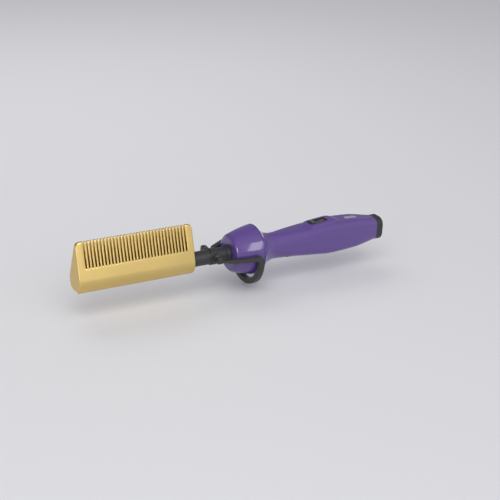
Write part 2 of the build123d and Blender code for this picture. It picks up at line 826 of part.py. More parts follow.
with BuildPart() as control_chip:
    block(
        (switch_x - chip_length / 2, triac_inner_y, board_top),
        (switch_x + chip_length / 2, triac_outer_y, board_top + chip_height),
    )
control_chip.part.label = "control_chip"

with BuildPart() as resistors:
    for side in (-1, 1):
        rod(
            capacitor_x - resistor_length / 2,
            capacitor_x + resistor_length / 2,
            resistor_radius,
            y=side * (board_width / 2 - resistor_margin),
            z=board_top + resistor_radius,
        )
resistors.part.label = "resistors"

led_x = board_rear_x - led_radius - part_gap
with BuildPart() as indicator_led:
    post(led_x, 0, board_top, board_top + led_height, led_radius)
    fillet(indicator_led.edges().group_by(Axis.Z)[-1], radius=0.8 * led_radius)
indicator_led.part.label = "indicator_led"

with BuildPart() as lens_limit:
    grip_loft(-indicator_stand)
lens_limit.part.label = "lens_limit"

with BuildPart() as indicator_lens:
    post(led_x, 0, board_top + led_height + part_gap, cap_top, guide_radius)
    with BuildSketch(Plane.XY.offset(cap_top - wall)):
        with Locations((indicator_x, 0)):
            SlotOverall(indicator_length, indicator_width)
    extrude(amount=2 * switch_top)
    add(lens_limit.part, mode=Mode.INTERSECT)
indicator_lens.part.label = "indicator_lens"

# ================================================================ switch
rocker_width = switch_width - 2 * switch_wall - 2 * part_gap
rocker_tilt = radians(rocker_rest_angle)
rocker_reach = switch_length / 2 - switch_wall - part_gap
rocker_half = (rocker_reach - rocker_rise * sin(rocker_tilt)) / cos(rocker_tilt)

with BuildPart() as switch_body:
    with BuildSketch(switch_plane.offset(rocker_pivot_drop)):
        RectangleRounded(switch_length, switch_width, switch_corner)
    extrude(amount=switch_floor - switch_top)
    fillet(switch_body.faces().sort_by(Axis.Z)[-1].edges(), radius=switch_edge)
    with BuildSketch(switch_plane.offset(switch_floor + switch_base - rocker_pivot_z)):
        Rectangle(switch_length - 2 * switch_wall, switch_width - 2 * switch_wall)
    extrude(amount=switch_top, mode=Mode.SUBTRACT)
    with BuildSketch(Plane.XZ.offset(-switch_width)) as pin_hole:
        with Locations((switch_x, rocker_pivot_z)):
            Circle(rocker_pin_radius + fit_gap)
    extrude(pin_hole.sketch, amount=2 * switch_width, mode=Mode.SUBTRACT)
switch_body.part.label = "switch_body"

with BuildPart() as rocker:
    rest_plane = Plane(
        origin=(switch_x, rocker_width / 2, rocker_pivot_z),
        x_dir=(cos(rocker_tilt - switch_tilt), 0, -sin(rocker_tilt - switch_tilt)),
        z_dir=(0, 1, 0),
    )
    with BuildSketch(rest_plane) as side_view:
        with BuildLine():
            Polyline(
                (-rocker_half, rocker_rise),
                (-rocker_half, -rocker_shoulder),
                (-rocker_half * rocker_keel, -rocker_depth),
                (rocker_half * rocker_keel, -rocker_depth),
                (rocker_half, -rocker_shoulder),
                (rocker_half, rocker_rise),
            )
            ThreePointArc((-rocker_half, rocker_rise), (0, rocker_rise / 2), (rocker_half, rocker_rise))
        make_face()
    extrude(side_view.sketch, amount=-rocker_width)
    with BuildSketch(Plane.XZ.offset(-switch_width)) as pivot_bore:
        with Locations((switch_x, rocker_pivot_z)):
            Circle(rocker_pin_radius + run_gap)
    extrude(pivot_bore.sketch, amount=2 * switch_width, mode=Mode.SUBTRACT)
rocker.part.label = "rocker"

with BuildPart() as rocker_pin:
    with BuildSketch(Plane.XZ.offset(-(switch_width / 2 - 0.1))):
        with Locations((switch_x, rocker_pivot_z)):
            Circle(rocker_pin_radius)
    extrude(amount=switch_width - 0.2)
rocker_pin.part.label = "rocker_pin"

with BuildPart() as switch_contacts:
    for offset in (-contact_pitch, 0.0, contact_pitch):
        block(
            (switch_x + offset - contact_half_length, -contact_half_width, board_top),
            (switch_x + offset + contact_half_length, contact_half_width, rocker_pivot_z),
        )
    split(bisect_by=switch_plane.offset(switch_floor - rocker_pivot_z), keep=Keep.BOTTOM)
switch_contacts.part.label = "switch_contacts"

# ================================================================ end cap and cord swivel
rotor_flange_x = -cap_wall - slide_gap
retainer_rear_x = rotor_flange_x - rotor_flange - slide_gap

with BuildPart() as end_cap:
    with BuildSketch(Plane.YZ.offset(cap_front_x)):
        with Locations((0, (cap_top - cap_bottom) / 2)):
            RectangleRounded(2 * cap_half_width, cap_top + cap_bottom, cap_corner)
    extrude(amount=cap_length)
    fillet(end_cap.faces().sort_by(Axis.X)[-1].edges(), radius=cap_edge)
    with BuildSketch(Plane.YZ.offset(cap_front_x)):
        with Locations((0, (cap_top - cap_bottom) / 2)):
            RectangleRounded(
                2 * (cap_half_width - wall - slide_gap),
                cap_top + cap_bottom - 2 * (wall + slide_gap),
                cap_corner - wall,
            )
    extrude(amount=-cap_spigot)
    with BuildSketch(Plane.YZ.offset(-cap_wall)):
        RectangleRounded(2 * cap_cavity, 2 * cap_cavity, cavity_corner)
    extrude(amount=-(cap_length + cap_spigot), mode=Mode.SUBTRACT)
    rod(-cap_wall, 0, rotor_nose_radius + run_gap, mode=Mode.SUBTRACT)
end_cap.part.label = "end_cap"

with BuildPart() as swivel_gland:
    rod(-rotor_length, 0, rotor_hub_radius)
    rod(rotor_flange_x, 0, rotor_nose_radius)
    rod(rotor_flange_x - rotor_flange, rotor_flange_x, rotor_flange_radius)
    rod(-rotor_length, 0, cord_bore_radius, mode=Mode.SUBTRACT)
swivel_gland.part.label = "swivel_gland"

ring_places = [retainer_rear_x - retainer_thickness - ring_margin - ring_width]
ring_places.append(ring_places[0] - ring_pitch)
ring_outer_radius = rotor_hub_radius + fit_gap + ring_wall
with BuildPart() as slip_rings:
    for x in ring_places:
        pipe(x, x + ring_width, ring_outer_radius, rotor_hub_radius + fit_gap)
slip_rings.part.label = "slip_rings"

with BuildPart() as retainer_plate:
    with BuildSketch(Plane.YZ.offset(retainer_rear_x)):
        RectangleRounded(2 * (cap_cavity - fit_gap), 2 * (cap_cavity - fit_gap), cavity_corner - fit_gap)
        Circle(rotor_hub_radius + run_gap, mode=Mode.SUBTRACT)
    extrude(amount=-retainer_thickness)
retainer_plate.part.label = "retainer_plate"

leaf_y = ring_outer_radius + leaf_gap
with BuildPart() as brush_holder:
    with BuildSketch(Plane.YZ.offset(holder_front_x)):
        RectangleRounded(2 * holder_half, 2 * holder_half, 2.0)
        for side in (-1, 1):
            with Locations((side * leaf_y, 0)):
                Rectangle(leaf_thickness + 2 * fit_gap, leaf_height + 2 * fit_gap, mode=Mode.SUBTRACT)
    extrude(amount=holder_thickness)
brush_holder.part.label = "brush_holder"

with BuildPart() as brush_contacts:
    for side, ring_x in zip((-1, 1), ring_places):
        inner_y = leaf_y - leaf_thickness / 2
        outer_y = leaf_y + leaf_thickness / 2
        low_y, high_y = sorted((side * inner_y, side * outer_y))
        block((holder_front_x, low_y, -leaf_height / 2), (ring_x + ring_width, high_y, leaf_height / 2))
        low_y, high_y = sorted((side * (ring_outer_radius + part_gap), side * inner_y))
        block(
            (ring_x + slide_gap, low_y, -brush_height / 2),
            (ring_x + ring_width - slide_gap, high_y, brush_height / 2),
        )
brush_contacts.part.label = "brush_contacts"

with BuildPart() as mains_leads:
    for side in (-1, 1):
        rod(board_rear_x - lead_landing, holder_front_x, lead_radius, y=side * mains_lead_offset)
mains_leads.part.label = "mains_leads"

# ================================================================ write the pieces
pieces = [
    comb_head,
    heater_plate,
    heater_sleeve,
    heater_wedge,
    temperature_sensor,
    neck_tube,
    head_ring,
    head_screw,
    thermal_fuse,
    heater_leads,
    sensor_leads,
    stand,
    stand_bracket,
    stand_pins,
    stand_washers,
    heat_guard,
    guard_bush,
    neck_anchor,
    guard_screws,
    grip_bottom,
    grip_top,
    grip_screws,
    circuit_board,
    board_screws,
    film_capacitor,
    triac,
    control_chip,
    resistors,
    indicator_led,
    indicator_lens,
    switch_body,
    rocker,
    rocker_pin,
    switch_contacts,
    end_cap,
    swivel_gland,
    slip_rings,
    retainer_plate,
    brush_holder,
    brush_contacts,
    mains_leads,
]
for piece in pieces:
    export_step(piece.part, f"parts/{piece.part.label}.step")
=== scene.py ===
import bpy
import json
import math
import numpy as np
from mathutils import Matrix


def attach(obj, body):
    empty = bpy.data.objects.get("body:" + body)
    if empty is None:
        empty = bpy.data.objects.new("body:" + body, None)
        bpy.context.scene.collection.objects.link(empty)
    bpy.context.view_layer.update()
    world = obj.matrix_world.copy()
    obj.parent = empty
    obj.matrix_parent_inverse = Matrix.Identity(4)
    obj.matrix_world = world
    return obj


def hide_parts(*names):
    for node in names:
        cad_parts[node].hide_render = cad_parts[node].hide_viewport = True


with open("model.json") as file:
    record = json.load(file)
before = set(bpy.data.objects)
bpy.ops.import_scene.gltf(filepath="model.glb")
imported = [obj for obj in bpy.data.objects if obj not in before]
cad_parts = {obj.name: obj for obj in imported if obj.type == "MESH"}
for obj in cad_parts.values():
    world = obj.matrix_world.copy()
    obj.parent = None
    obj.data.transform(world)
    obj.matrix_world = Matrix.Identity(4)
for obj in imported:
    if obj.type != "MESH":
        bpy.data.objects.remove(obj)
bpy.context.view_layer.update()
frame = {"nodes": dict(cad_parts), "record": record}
nodes = frame["nodes"]
scene = bpy.context.scene
print("frame loaded:", len(nodes), "nodes")

# all lengths in the settings are millimetres, in the tool's own frame
millimetre = 0.001
sharpEdge = 0.1  # radius of a corner that should look sharp
onAxis = 0.01  # radius at which a turned profile counts as closed
quarterTurn = math.pi / 2


def gridQuads(rows, columns, closedAlong=False):
    # quads from each row of a grid to the next; the last column joins the first, and so does the
    # last row where the piece is closed along its length
    i, j = np.meshgrid(np.arange(rows if closedAlong else rows - 1), np.arange(columns), indexing="ij")
    nextI, nextJ = (i + 1) % rows, (j + 1) % columns
    quads = [i * columns + j, i * columns + nextJ, nextI * columns + nextJ, nextI * columns + j]
    return np.stack(quads, axis=-1).reshape(-1, 4).tolist()


def shadeByAngle(mesh, creaseDegrees):
    # smooth up to the crease angle, sharp beyond it
    mesh.shade_smooth()
    mesh.set_sharp_from_angle(angle=math.radians(creaseDegrees))


def meshFromFaces(name, coords, faces, creaseDegrees):
    # a piece whose faces are turned outwards by the sign of the volume they enclose, which is the
    # sum of a . (b x c) over its triangles
    mesh = bpy.data.meshes.new(name)
    mesh.from_pydata((coords * millimetre).tolist(), [], faces)
    mesh.update()
    mesh.calc_loop_triangles()
    corners = np.empty(len(mesh.loop_triangles) * 3, dtype=np.int32)
    mesh.loop_triangles.foreach_get("vertices", corners)
    places = np.empty(len(mesh.vertices) * 3)
    mesh.vertices.foreach_get("co", places)
    triangles = places.reshape(-1, 3)[corners.reshape(-1, 3)]
    volume = np.einsum("ij,ij->i", triangles[:, 0], np.cross(triangles[:, 1], triangles[:, 2])).sum()
    if volume < 0:
        mesh.flip_normals()
    shadeByAngle(mesh, creaseDegrees)
    piece = bpy.data.objects.new(name, mesh)
    scene.collection.objects.link(piece)
    return piece


def meshFromGrid(name, points, closedAlong=False, creaseDegrees=32):
    # points[i, j] is row i along the piece and column j around it; unless the rows close on
    # themselves, each end row is closed by a fan to its middle
    rows, columns = points.shape[:2]
    coords = points.reshape(-1, 3)
    faces = gridQuads(rows, columns, closedAlong)
    if not closedAlong:
        for row, order in ((0, -1), (rows - 1, 1)):
            ring = row * columns + np.arange(columns)
            fan = np.stack([ring, np.roll(ring, -1), np.full(columns, len(coords))], axis=-1)
            faces += fan[:, ::order].tolist()
            coords = np.vstack([coords, coords[ring].mean(axis=0)])
    return meshFromFaces(name, coords, faces, creaseDegrees)


def sectionsAlong(x, y, z):
    # one row of (y, z) points at each station x
    return np.stack([np.broadcast_to(x[:, None], y.shape), y, z], axis=-1)


def joinPieces(name, pieces):
    # one mesh from several closed shells
    bpy.ops.object.select_all(action="DESELECT")
    for piece in pieces:
        piece.select_set(True)
    bpy.context.view_layer.objects.active = pieces[0]
    bpy.ops.object.join()
    pieces[0].name = name
    pieces[0].data.name = name
    return pieces[0]


def cutAway(piece, cutter, creaseDegrees):
    # takes the cutter's volume out of the piece
    modifier = piece.modifiers.new("cut", "BOOLEAN")
    modifier.operation = "DIFFERENCE"
    modifier.solver = "EXACT"
    modifier.object = cutter
    graph = bpy.context.evaluated_depsgraph_get()
    mesh = bpy.data.meshes.new_from_object(piece.evaluated_get(graph))
    piece.modifiers.clear()
    piece.data = mesh
    shadeByAngle(mesh, creaseDegrees)
    bpy.data.objects.remove(cutter)


def arcBetween(start, end, turn, t):
    # directions that turn evenly from start to end: (sin((1 - t) turn) start + sin(t turn) end) / sin(turn)
    return (np.sin((1 - t) * turn) * start + np.sin(t * turn) * end) / np.sin(turn)


def unit(vectors):
    # each row over its own length
    return vectors / np.linalg.norm(vectors, axis=1, keepdims=True)


def roundedPath(corners, radii, steps=6):
    # each corner of a closed polyline becomes an arc of its radius, from one tangent point to the other
    p = np.asarray(corners, float)
    r = np.broadcast_to(np.asarray(radii, float), len(p))[:, None]
    before, after = (unit(np.roll(p, shift, axis=0) - p) for shift in (1, -1))
    half = np.arccos(np.clip((before * after).sum(1, keepdims=True), -1, 1)) / 2
    half = np.clip(half, 1e-3, quarterTurn - 1e-6)
    bisector = before + after
    bisector /= np.maximum(np.linalg.norm(bisector, axis=1, keepdims=True), 1e-9)
    centre = p + bisector * r / np.sin(half)
    start, end = ((p + side * r / np.tan(half) - centre) / r for side in (before, after))
    turn = (math.pi - 2 * half)[:, None]
    arc = arcBetween(start[:, None], end[:, None], turn, np.linspace(0, 1, steps)[None, :, None])
    return (centre[:, None] + r[:, None] * arc).reshape(-1, p.shape[1])


def circle(radius, steps, x=0.0, y=0.0):
    # (x + radius cos, y + radius sin) once round
    angle = np.linspace(0, 2 * math.pi, steps, endpoint=False)
    return np.stack([x + radius * np.cos(angle), y + radius * np.sin(angle)], axis=-1)


def roundedRectangle(low, high, corner, steps=6):
    (x0, y0), (x1, y1) = low, high
    return roundedPath([(x0, y0), (x1, y0), (x1, y1), (x0, y1)], corner, steps)


def prism(name, outline, low, high, alongX=False):
    # an outline of (x, y) carried straight from low to high, or one of (y, z) carried along X
    ends = np.broadcast_to(np.array([low, high])[:, None], (2, len(outline)))
    points = np.stack([*np.broadcast_to(outline.T[:, None], (2, 2, len(outline))), ends], axis=-1)
    return meshFromGrid(name, points[..., [2, 0, 1]] if alongX else points)


def lathe(name, profile, segments=96, centre=(0, 0, 0), alongY=False):
    # a closed profile of (along, radius) turned once round the tool's axis, or round a line along Y
    along = np.repeat(profile[:, :1], segments, axis=1)
    across, up = (profile[:, 1:] * turned for turned in circle(1, segments).T)
    points = np.stack([up, along, across] if alongY else [along, across, up], axis=-1)
    return meshFromGrid(name, points + np.array(centre, float), closedAlong=True)


def smoothCurve(knotsX, knotsY, x):
    # monotone cubic through the knots: slopes are harmonic means of the neighbouring secants
    kx, ky = np.asarray(knotsX, float), np.asarray(knotsY, float)
    h = np.diff(kx)
    secant = np.diff(ky) / h
    product = secant[:-1] * secant[1:]
    weightA, weightB = 2 * h[1:] + h[:-1], h[1:] + 2 * h[:-1]
    with np.errstate(divide="ignore", invalid="ignore"):
        inner = (weightA + weightB) / (weightA / secant[:-1] + weightB / secant[1:])
    inner = np.where(product > 0, inner, 0)
    slope = np.concatenate([secant[:1], inner, secant[-1:]])
    k = np.clip(np.searchsorted(kx, x, side="right") - 1, 0, len(h) - 1)
    t = (x - kx[k]) / h[k]
    a, b = ky[k], ky[k + 1]
    return (
        (2 * t**3 - 3 * t**2 + 1) * a
        + (t**3 - 2 * t**2 + t) * h[k] * slope[k]
        + (3 * t**2 - 2 * t**3) * b
        + (t**3 - t**2) * h[k] * slope[k + 1]
    )


def smoothStep(low, high, value):
    # 0 up to low, 1 from high, t * t * (3 - 2 t) between them
    t = np.clip((value - low) / (high - low), 0, 1)
    return t * t * (3 - 2 * t)


def smoothMax(a, b, blend):
    # larger of two heights, rounded where they cross: (a + b + sqrt((a - b)^2 + blend^2)) / 2
    return 0.5 * (a + b + np.sqrt((a - b) ** 2 + blend**2))


def roundOver(radius, past):
    # how far a quarter round has dropped at a distance past its start: radius - sqrt(radius^2 - past^2)
    return radius - np.sqrt(np.maximum(radius**2 - past**2, 0))


def newMaterial(name, colour, roughness, metallic=0.0, coat=0.0):
    material = bpy.data.materials.new(name)
    material.use_nodes = True
    material.diffuse_color = (*colour, 1)
    tree = material.node_tree
    shader = tree.nodes["Principled BSDF"]
    for socket, value in (
        ("Base Color", (*colour, 1)), ("Metallic", metallic), ("Roughness", roughness), ("IOR", 1.5),
        ("Coat Weight", coat), ("Coat Roughness", 0.05),
    ):
        shader.inputs[socket].default_value = value
    return material, tree, shader


def noiseOn(tree, scale, detail, stretch=(1, 1, 1)):
    # noise in object space, stretched along an axis where the finish has a direction
    place = tree.nodes.new("ShaderNodeTexCoord")
    mapping = tree.nodes.new("ShaderNodeMapping")
    mapping.inputs["Scale"].default_value = stretch
    noise = tree.nodes.new("ShaderNodeTexNoise")
    noise.inputs["Scale"].default_value = scale
    noise.inputs["Detail"].default_value = detail
    tree.links.new(place.outputs["Object"], mapping.inputs["Vector"])
    tree.links.new(mapping.outputs["Vector"], noise.inputs["Vector"])
    return noise.outputs["Fac"]


def addBump(tree, shader, height, strength, distance):
    # height in 0 to 1 tips the normal as a relief of that distance, in metres, would
    bump = tree.nodes.new("ShaderNodeBump")
    bump.inputs["Strength"].default_value = strength
    bump.inputs["Distance"].default_value = distance
    tree.links.new(height, bump.inputs["Height"])
    tree.links.new(bump.outputs["Normal"], shader.inputs["Normal"])


def mixColours(tree, factor, first, second):
    # first * (1 - factor) + second * factor
    mix = tree.nodes.new("ShaderNodeMix")
    mix.data_type = "RGBA"
    mix.inputs["A"].default_value = (*first, 1)
    mix.inputs["B"].default_value = (*second, 1)
    tree.links.new(factor, mix.inputs["Factor"])
    return mix.outputs["Result"]


def remap(tree, value, fromLow, fromHigh, toLow, toHigh):
    # straight line from (fromLow, toLow) to (fromHigh, toHigh)
    node = tree.nodes.new("ShaderNodeMapRange")
    limits = {"From Min": fromLow, "From Max": fromHigh, "To Min": toLow, "To Max": toHigh}
    for socket, limit in limits.items():
        node.inputs[socket].default_value = limit
    tree.links.new(value, node.inputs["Value"])
    return node.outputs["Result"]


noiseRange = (0.3, 0.7)  # most values of a noise lie in here


def dapple(tree, shader, clouds, gloss, colour, roughness, look):
    # colour runs from its darker tint to itself with the clouds, roughness with the gloss noise
    darker = tuple(c * look["tint"] for c in colour)
    tree.links.new(mixColours(tree, clouds, darker, colour), shader.inputs["Base Color"])
    low, high = roughness * look["smoother"], roughness * look["rougher"]
    tree.links.new(remap(tree, gloss, *noiseRange, low, high), shader.inputs["Roughness"])


plasticLook = {
    "clouds": 60, "cloudDetail": 2, "grainDetail": 2, "smoother": 0.85, "rougher": 1.15, "bump": 0.5,
}
metalLook = {
    "clouds": 45, "cloudDetail": 3, "marks": 900, "markDetail": 3, "tint": 0.88, "smoother": 0.85,
    "rougher": 1.2, "bump": 0.4,
}


def plasticFinish(name, colour, roughness, grainScale, grainHeight, coat=0.0, tint=0.85):
    # moulded plastic: fine grain in the bump, slow clouds in colour and gloss
    look = {**plasticLook, "tint": tint}
    material, tree, shader = newMaterial(name, colour, roughness, coat=coat)
    clouds = noiseOn(tree, look["clouds"], look["cloudDetail"])
    dapple(tree, shader, clouds, clouds, colour, roughness, look)
    addBump(tree, shader, noiseOn(tree, grainScale, look["grainDetail"]), look["bump"], grainHeight)
    return material


def metalFinish(name, colour, roughness, grainHeight, stretch=(1, 1, 1), metallic=1.0):
    # metal: fine marks drawn out along the stretch, which also change the gloss a little
    look = metalLook
    material, tree, shader = newMaterial(name, colour, roughness, metallic=metallic)
    marks = noiseOn(tree, look["marks"], look["markDetail"], stretch)
    clouds = noiseOn(tree, look["clouds"], look["cloudDetail"])
    dapple(tree, shader, clouds, marks, colour, roughness, look)
    addBump(tree, shader, marks, look["bump"], grainHeight)
    return material


giltMetal = metalFinish("giltMetal", (0.76, 0.56, 0.21), 0.34, 0.000012, stretch=(0.15, 1, 1))
blackEnamel = metalFinish("blackEnamel", (0.040, 0.040, 0.042), 0.36, 0.00001, metallic=0.2)
purpleGloss = plasticFinish("purpleGloss", (0.110, 0.056, 0.270), 0.16, 700, 0.000003, coat=0.5, tint=0.95)
standBlack = plasticFinish("standBlack", (0.034, 0.034, 0.033), 0.38, 900, 0.00002)
capBlack = plasticFinish("capBlack", (0.028, 0.029, 0.034), 0.42, 1100, 0.00003)
switchGrey = plasticFinish("switchGrey", (0.085, 0.084, 0.088), 0.30, 900, 0.00001, coat=0.2)
lensClear = plasticFinish("lensClear", (0.42, 0.36, 0.44), 0.18, 500, 0.000005, coat=0.4)
lampRed = plasticFinish("lampRed", (0.60, 0.06, 0.05), 0.2, 500, 0.000005)
blackMoulded = plasticFinish("blackMoulded", (0.035, 0.035, 0.036), 0.45, 1000, 0.00003)
firedCeramic = plasticFinish("firedCeramic", (0.80, 0.78, 0.72), 0.6, 1500, 0.00002)
glassSleeve = plasticFinish("glassSleeve", (0.74, 0.70, 0.60), 0.8, 2500, 0.00008)
zincSteel = metalFinish("zincSteel", (0.56, 0.56, 0.57), 0.3, 0.00001)
darkSteel = metalFinish("darkSteel", (0.09, 0.09, 0.095), 0.35, 0.00001)
leadJacket = plasticFinish("leadJacket", (0.70, 0.67, 0.60), 0.5, 900, 0.00002)
greenBoard = plasticFinish("greenBoard", (0.03, 0.16, 0.05), 0.4, 800, 0.00002)
amberBox = plasticFinish("amberBox", (0.55, 0.30, 0.03), 0.3, 900, 0.00001)
springBrass = metalFinish("springBrass", (0.72, 0.50, 0.20), 0.3, 0.00001)
print("materials made:", len(bpy.data.materials))

slotFinish = {
    "gilt": giltMetal, "neck": blackEnamel, "stand": standBlack, "shell": purpleGloss, "cap": capBlack,
    "switch": switchGrey, "lens": lensClear, "lamp": lampRed, "black_plastic": blackMoulded,
    "ceramic": firedCeramic, "insulation": glassSleeve, "steel": zincSteel, "dark_steel": darkSteel,
    "wire": leadJacket, "board": greenBoard, "capacitor": amberBox, "contact": springBrass,
}


def paint(mesh, slotName):
    mesh.materials.clear()
    mesh.materials.append(slotFinish[slotName])


for part in frame["record"]["subparts"]:
    paint(nodes[part["node"]].data, part["material_slot"])


def dress(piece, body, slotName, replacedNode):
    # finish, body and slot of a new piece, and the node that it stands for
    paint(piece.data, slotName)
    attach(piece, body)
    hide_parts(replacedNode)
    print("made", piece.name, len(piece.data.polygons), "faces")


combHeadSize = {
    "front": -264.1, "rear": -171.5, "barrel": 9.7, "arcStart": -0.4999 * math.pi, "tip": 29.6,
    "tipHalf": 0.8, "corner": 3.4, "endEdge": 0.85,
    "slots": 32, "pitch": 2.58, "middle": -217.8, "slotWidth": 1.16, "slotFloor": 11.2,
    "grooveWidth": 1.0, "grooveDepth": 1.7, "wallLean": 0.015,
    "toothEdge": 0.22, "toothEdgeRows": (1, 0.55, 0.2), "toothRoot": (-0.1, 0.8), "toothThinnest": 0.12,
    "tipEdge": 0.25, "tipEdgeStart": 0.4, "tipEdgeShare": 0.3, "tipCrown": 0.3, "crease": 28,
    "socket": (-183.5, -171.0), "socketRadius": 5.75,
    "pocketLow": (-252.5, -4.15), "pocketHigh": (-183.0, 4.15), "pocketHalfHeight": 3.1,
    "screwX": -177.5, "screw": (-12.0, -5.0), "screwRadius": 1.6, "holeSteps": 64, "screwSteps": 48,
    # rows at each end, and columns of the bottom strip, barrel, lower flank, teeth and tooth tips
    "endRows": 12, "stripColumns": 5, "barrelColumns": 40, "flankColumns": 7, "toothColumns": 14,
    "tipColumns": 5,
}


def buildCombHead(s):
    # Each station along X has a half profile in four runs: bottom strip, barrel arc, flank, top strip.
    # The flank ends at the station's top and the arc starts at its bottom, so slots, back grooves and
    # rounded corners are changes of top and bottom along X. Edges are broken by moving the profile inwards.
    tipAngle = math.atan2(s["tip"], s["tipHalf"])
    tangent = tipAngle - math.acos(s["barrel"] / math.hypot(s["tip"], s["tipHalf"]))
    flankY, flankZ = s["barrel"] * math.cos(tangent), s["barrel"] * math.sin(tangent)
    centres = s["middle"] + s["pitch"] * (np.arange(s["slots"]) - (s["slots"] - 1) / 2)
    halfSlot, halfGroove, edge, lean = s["slotWidth"] / 2, s["grooveWidth"] / 2, s["toothEdge"], s["wallLean"]
    offsets = np.array([
        *(halfSlot + share * edge for share in s["toothEdgeRows"]), halfSlot + lean, halfSlot,
        halfGroove + lean, halfGroove, 0.0,
    ])
    offsets = np.unique(np.concatenate([offsets, -offsets]))
    inSlots = (centres[:, None] + offsets[None, :]).ravel()
    ends = 1 - np.cos(np.linspace(0, quarterTurn, s["endRows"]))
    nearEnd = np.unique(np.concatenate([s["endEdge"] * ends, s["corner"] * ends]))
    x = np.unique(np.concatenate([inSlots, s["front"] + nearEnd, s["rear"] - nearEnd]))
    nearest = np.abs(x[:, None] - centres[None, :]).min(axis=1)
    isSlot = nearest < halfSlot + lean / 2
    isGroove = nearest < halfGroove + lean / 2
    toEnd = np.minimum(x - s["front"], s["rear"] - x)
    cornerDrop, insetAll = (roundOver(r, np.maximum(r - toEnd, 0)) for r in (s["corner"], s["endEdge"]))
    top = np.where(isSlot, s["slotFloor"], s["tip"] - cornerDrop) - insetAll
    bottom = -s["barrel"] + cornerDrop + np.where(isGroove, s["grooveDepth"], 0) + insetAll
    fromWall = np.clip((nearest - halfSlot) / edge, 0, 1)
    insetTooth = np.where(isSlot | (toEnd < s["corner"]), 0, edge * roundOver(1, 1 - fromWall))

    insets = insetAll[:, None]
    strip = np.linspace(0, 1, s["stripColumns"])[None, :-1]
    lowAngle = np.arcsin(np.clip(bottom / (s["barrel"] - insetAll), -1, 1))[:, None]
    radius = s["barrel"] - insets
    bottomY = radius * np.cos(lowAngle) * strip
    bottomZ = np.repeat(bottom[:, None], strip.shape[1], axis=1)
    # the same angles and heights in every row, cut off at the row's own bottom and top, keep the
    # barrel and the flanks free of ripples
    arcAngle = np.maximum(np.linspace(s["arcStart"], tangent, s["barrelColumns"])[None, :], lowAngle)
    arcY, arcZ = radius * np.cos(arcAngle), radius * np.sin(arcAngle)
    edgeStart = s["tipEdgeStart"]
    levels = np.unique(np.concatenate([
        np.linspace(flankZ, s["slotFloor"] - edgeStart, s["flankColumns"])[1:],
        np.linspace(s["slotFloor"], s["tip"] - edgeStart, s["toothColumns"])]))
    flankZs = np.minimum(levels[None, :], top[:, None] - edgeStart)
    flankZs = np.concatenate([flankZs, top[:, None]], axis=1)
    toothIn = insetTooth[:, None] * smoothStep(*(s["slotFloor"] + root for root in s["toothRoot"]), flankZs)
    flankYs = flankY + (s["tipHalf"] - flankY) * (flankZs - flankZ) / (s["tip"] - flankZ)
    flankYs = np.maximum(flankYs - insets - toothIn, s["toothThinnest"])
    flankZs[:, -1] -= np.minimum(s["tipEdge"], flankYs[:, -1] * s["tipEdgeShare"])
    share = np.linspace(1.0, 0.0, s["tipColumns"] + 1)[None, 1:]
    topYs = flankYs[:, -1:] * share
    # tooth tips are crowned, slot floors are flat
    crown = np.where(isSlot, 0.0, s["tipCrown"])[:, None] * share**2
    topZs = (top - np.where(isSlot, 0, insetTooth))[:, None] - crown
    halfY = np.concatenate([bottomY, arcY, flankYs, topYs], axis=1)
    halfZ = np.concatenate([bottomZ, arcZ, flankZs, topZs], axis=1)
    y = np.concatenate([halfY, -halfY[:, -2:0:-1]], axis=1)
    z = np.concatenate([halfZ, halfZ[:, -2:0:-1]], axis=1)
    head = meshFromGrid("combHead", sectionsAlong(x, y, z), creaseDegrees=s["crease"])
    for cutter in (
        prism("socketCutter", circle(s["socketRadius"], s["holeSteps"]), *s["socket"], alongX=True),
        prism("pocketCutter", roundedRectangle(s["pocketLow"], s["pocketHigh"], sharpEdge),
              -s["pocketHalfHeight"], s["pocketHalfHeight"]),
        prism("screwCutter", circle(s["screwRadius"], s["screwSteps"], s["screwX"]), *s["screw"]),
    ):
        cutAway(head, cutter, s["crease"])
    return head


dress(buildCombHead(combHeadSize), "handle", "gilt", "comb_head")

edgeSteps = 5  # points on the rounded edge of a turned ring
neckSize = {"front": -183.5, "rear": -104.0, "inner": 4.7, "outer": 5.7, "edge": 0.3}
collarSize = {"front": -171.5, "rear": -169.0, "inner": 5.75, "outer": 6.3, "edge": 0.28}
bushSize = {"front": -142.0, "rear": -135.0, "inner": 5.75, "outer": 6.65, "edge": 0.7}


def buildRing(name, s):
    # rectangle of (x, radius) with its outer corners rounded, turned round the axis
    low, high = (s["front"], s["inner"]), (s["rear"], s["outer"])
    corners = [low, (s["front"], s["outer"]), high, (s["rear"], s["inner"])]
    return lathe(name, roundedPath(corners, [sharpEdge, s["edge"], s["edge"], sharpEdge], edgeSteps))


dress(buildRing("neckTube", neckSize), "handle", "neck", "neck_tube")
dress(buildRing("headCollar", collarSize), "handle", "neck", "head_ring")
dress(buildRing("guardBush", bushSize), "handle", "black_plastic", "guard_bush")

pivot = {"x": -153.0, "z": 2.0, "turns": 48}  # the stand turns about a line along Y through this point


def turnedPair(name, profile, steps):
    # a profile of (distance from the middle, radius, rounding) turned round the pivot on both sides
    distance, radius, rounding = np.array(profile).T
    return [
        lathe(name, roundedPath(np.stack([side * distance, radius], axis=-1), rounding, steps),
              pivot["turns"], centre=(pivot["x"], 0, pivot["z"]), alongY=True)
        for side in (-1, 1)]


bracketSize = {
    "front": -155.7, "rear": -150.3, "inner": 5.75, "outer": 6.45, "edge": 0.25,
    "ear": [(5.6, onAxis, 0.01), (5.6, 2.7, 0.1), (6.6, 2.2, 0.5), (9.05, 2.2, 0.3), (9.05, onAxis, 0.01)],
}
bracketParts = [buildRing("band", bracketSize), *turnedPair("ear", bracketSize["ear"], edgeSteps)]
dress(joinPieces("standBracket", bracketParts), "handle", "neck", "stand_bracket")

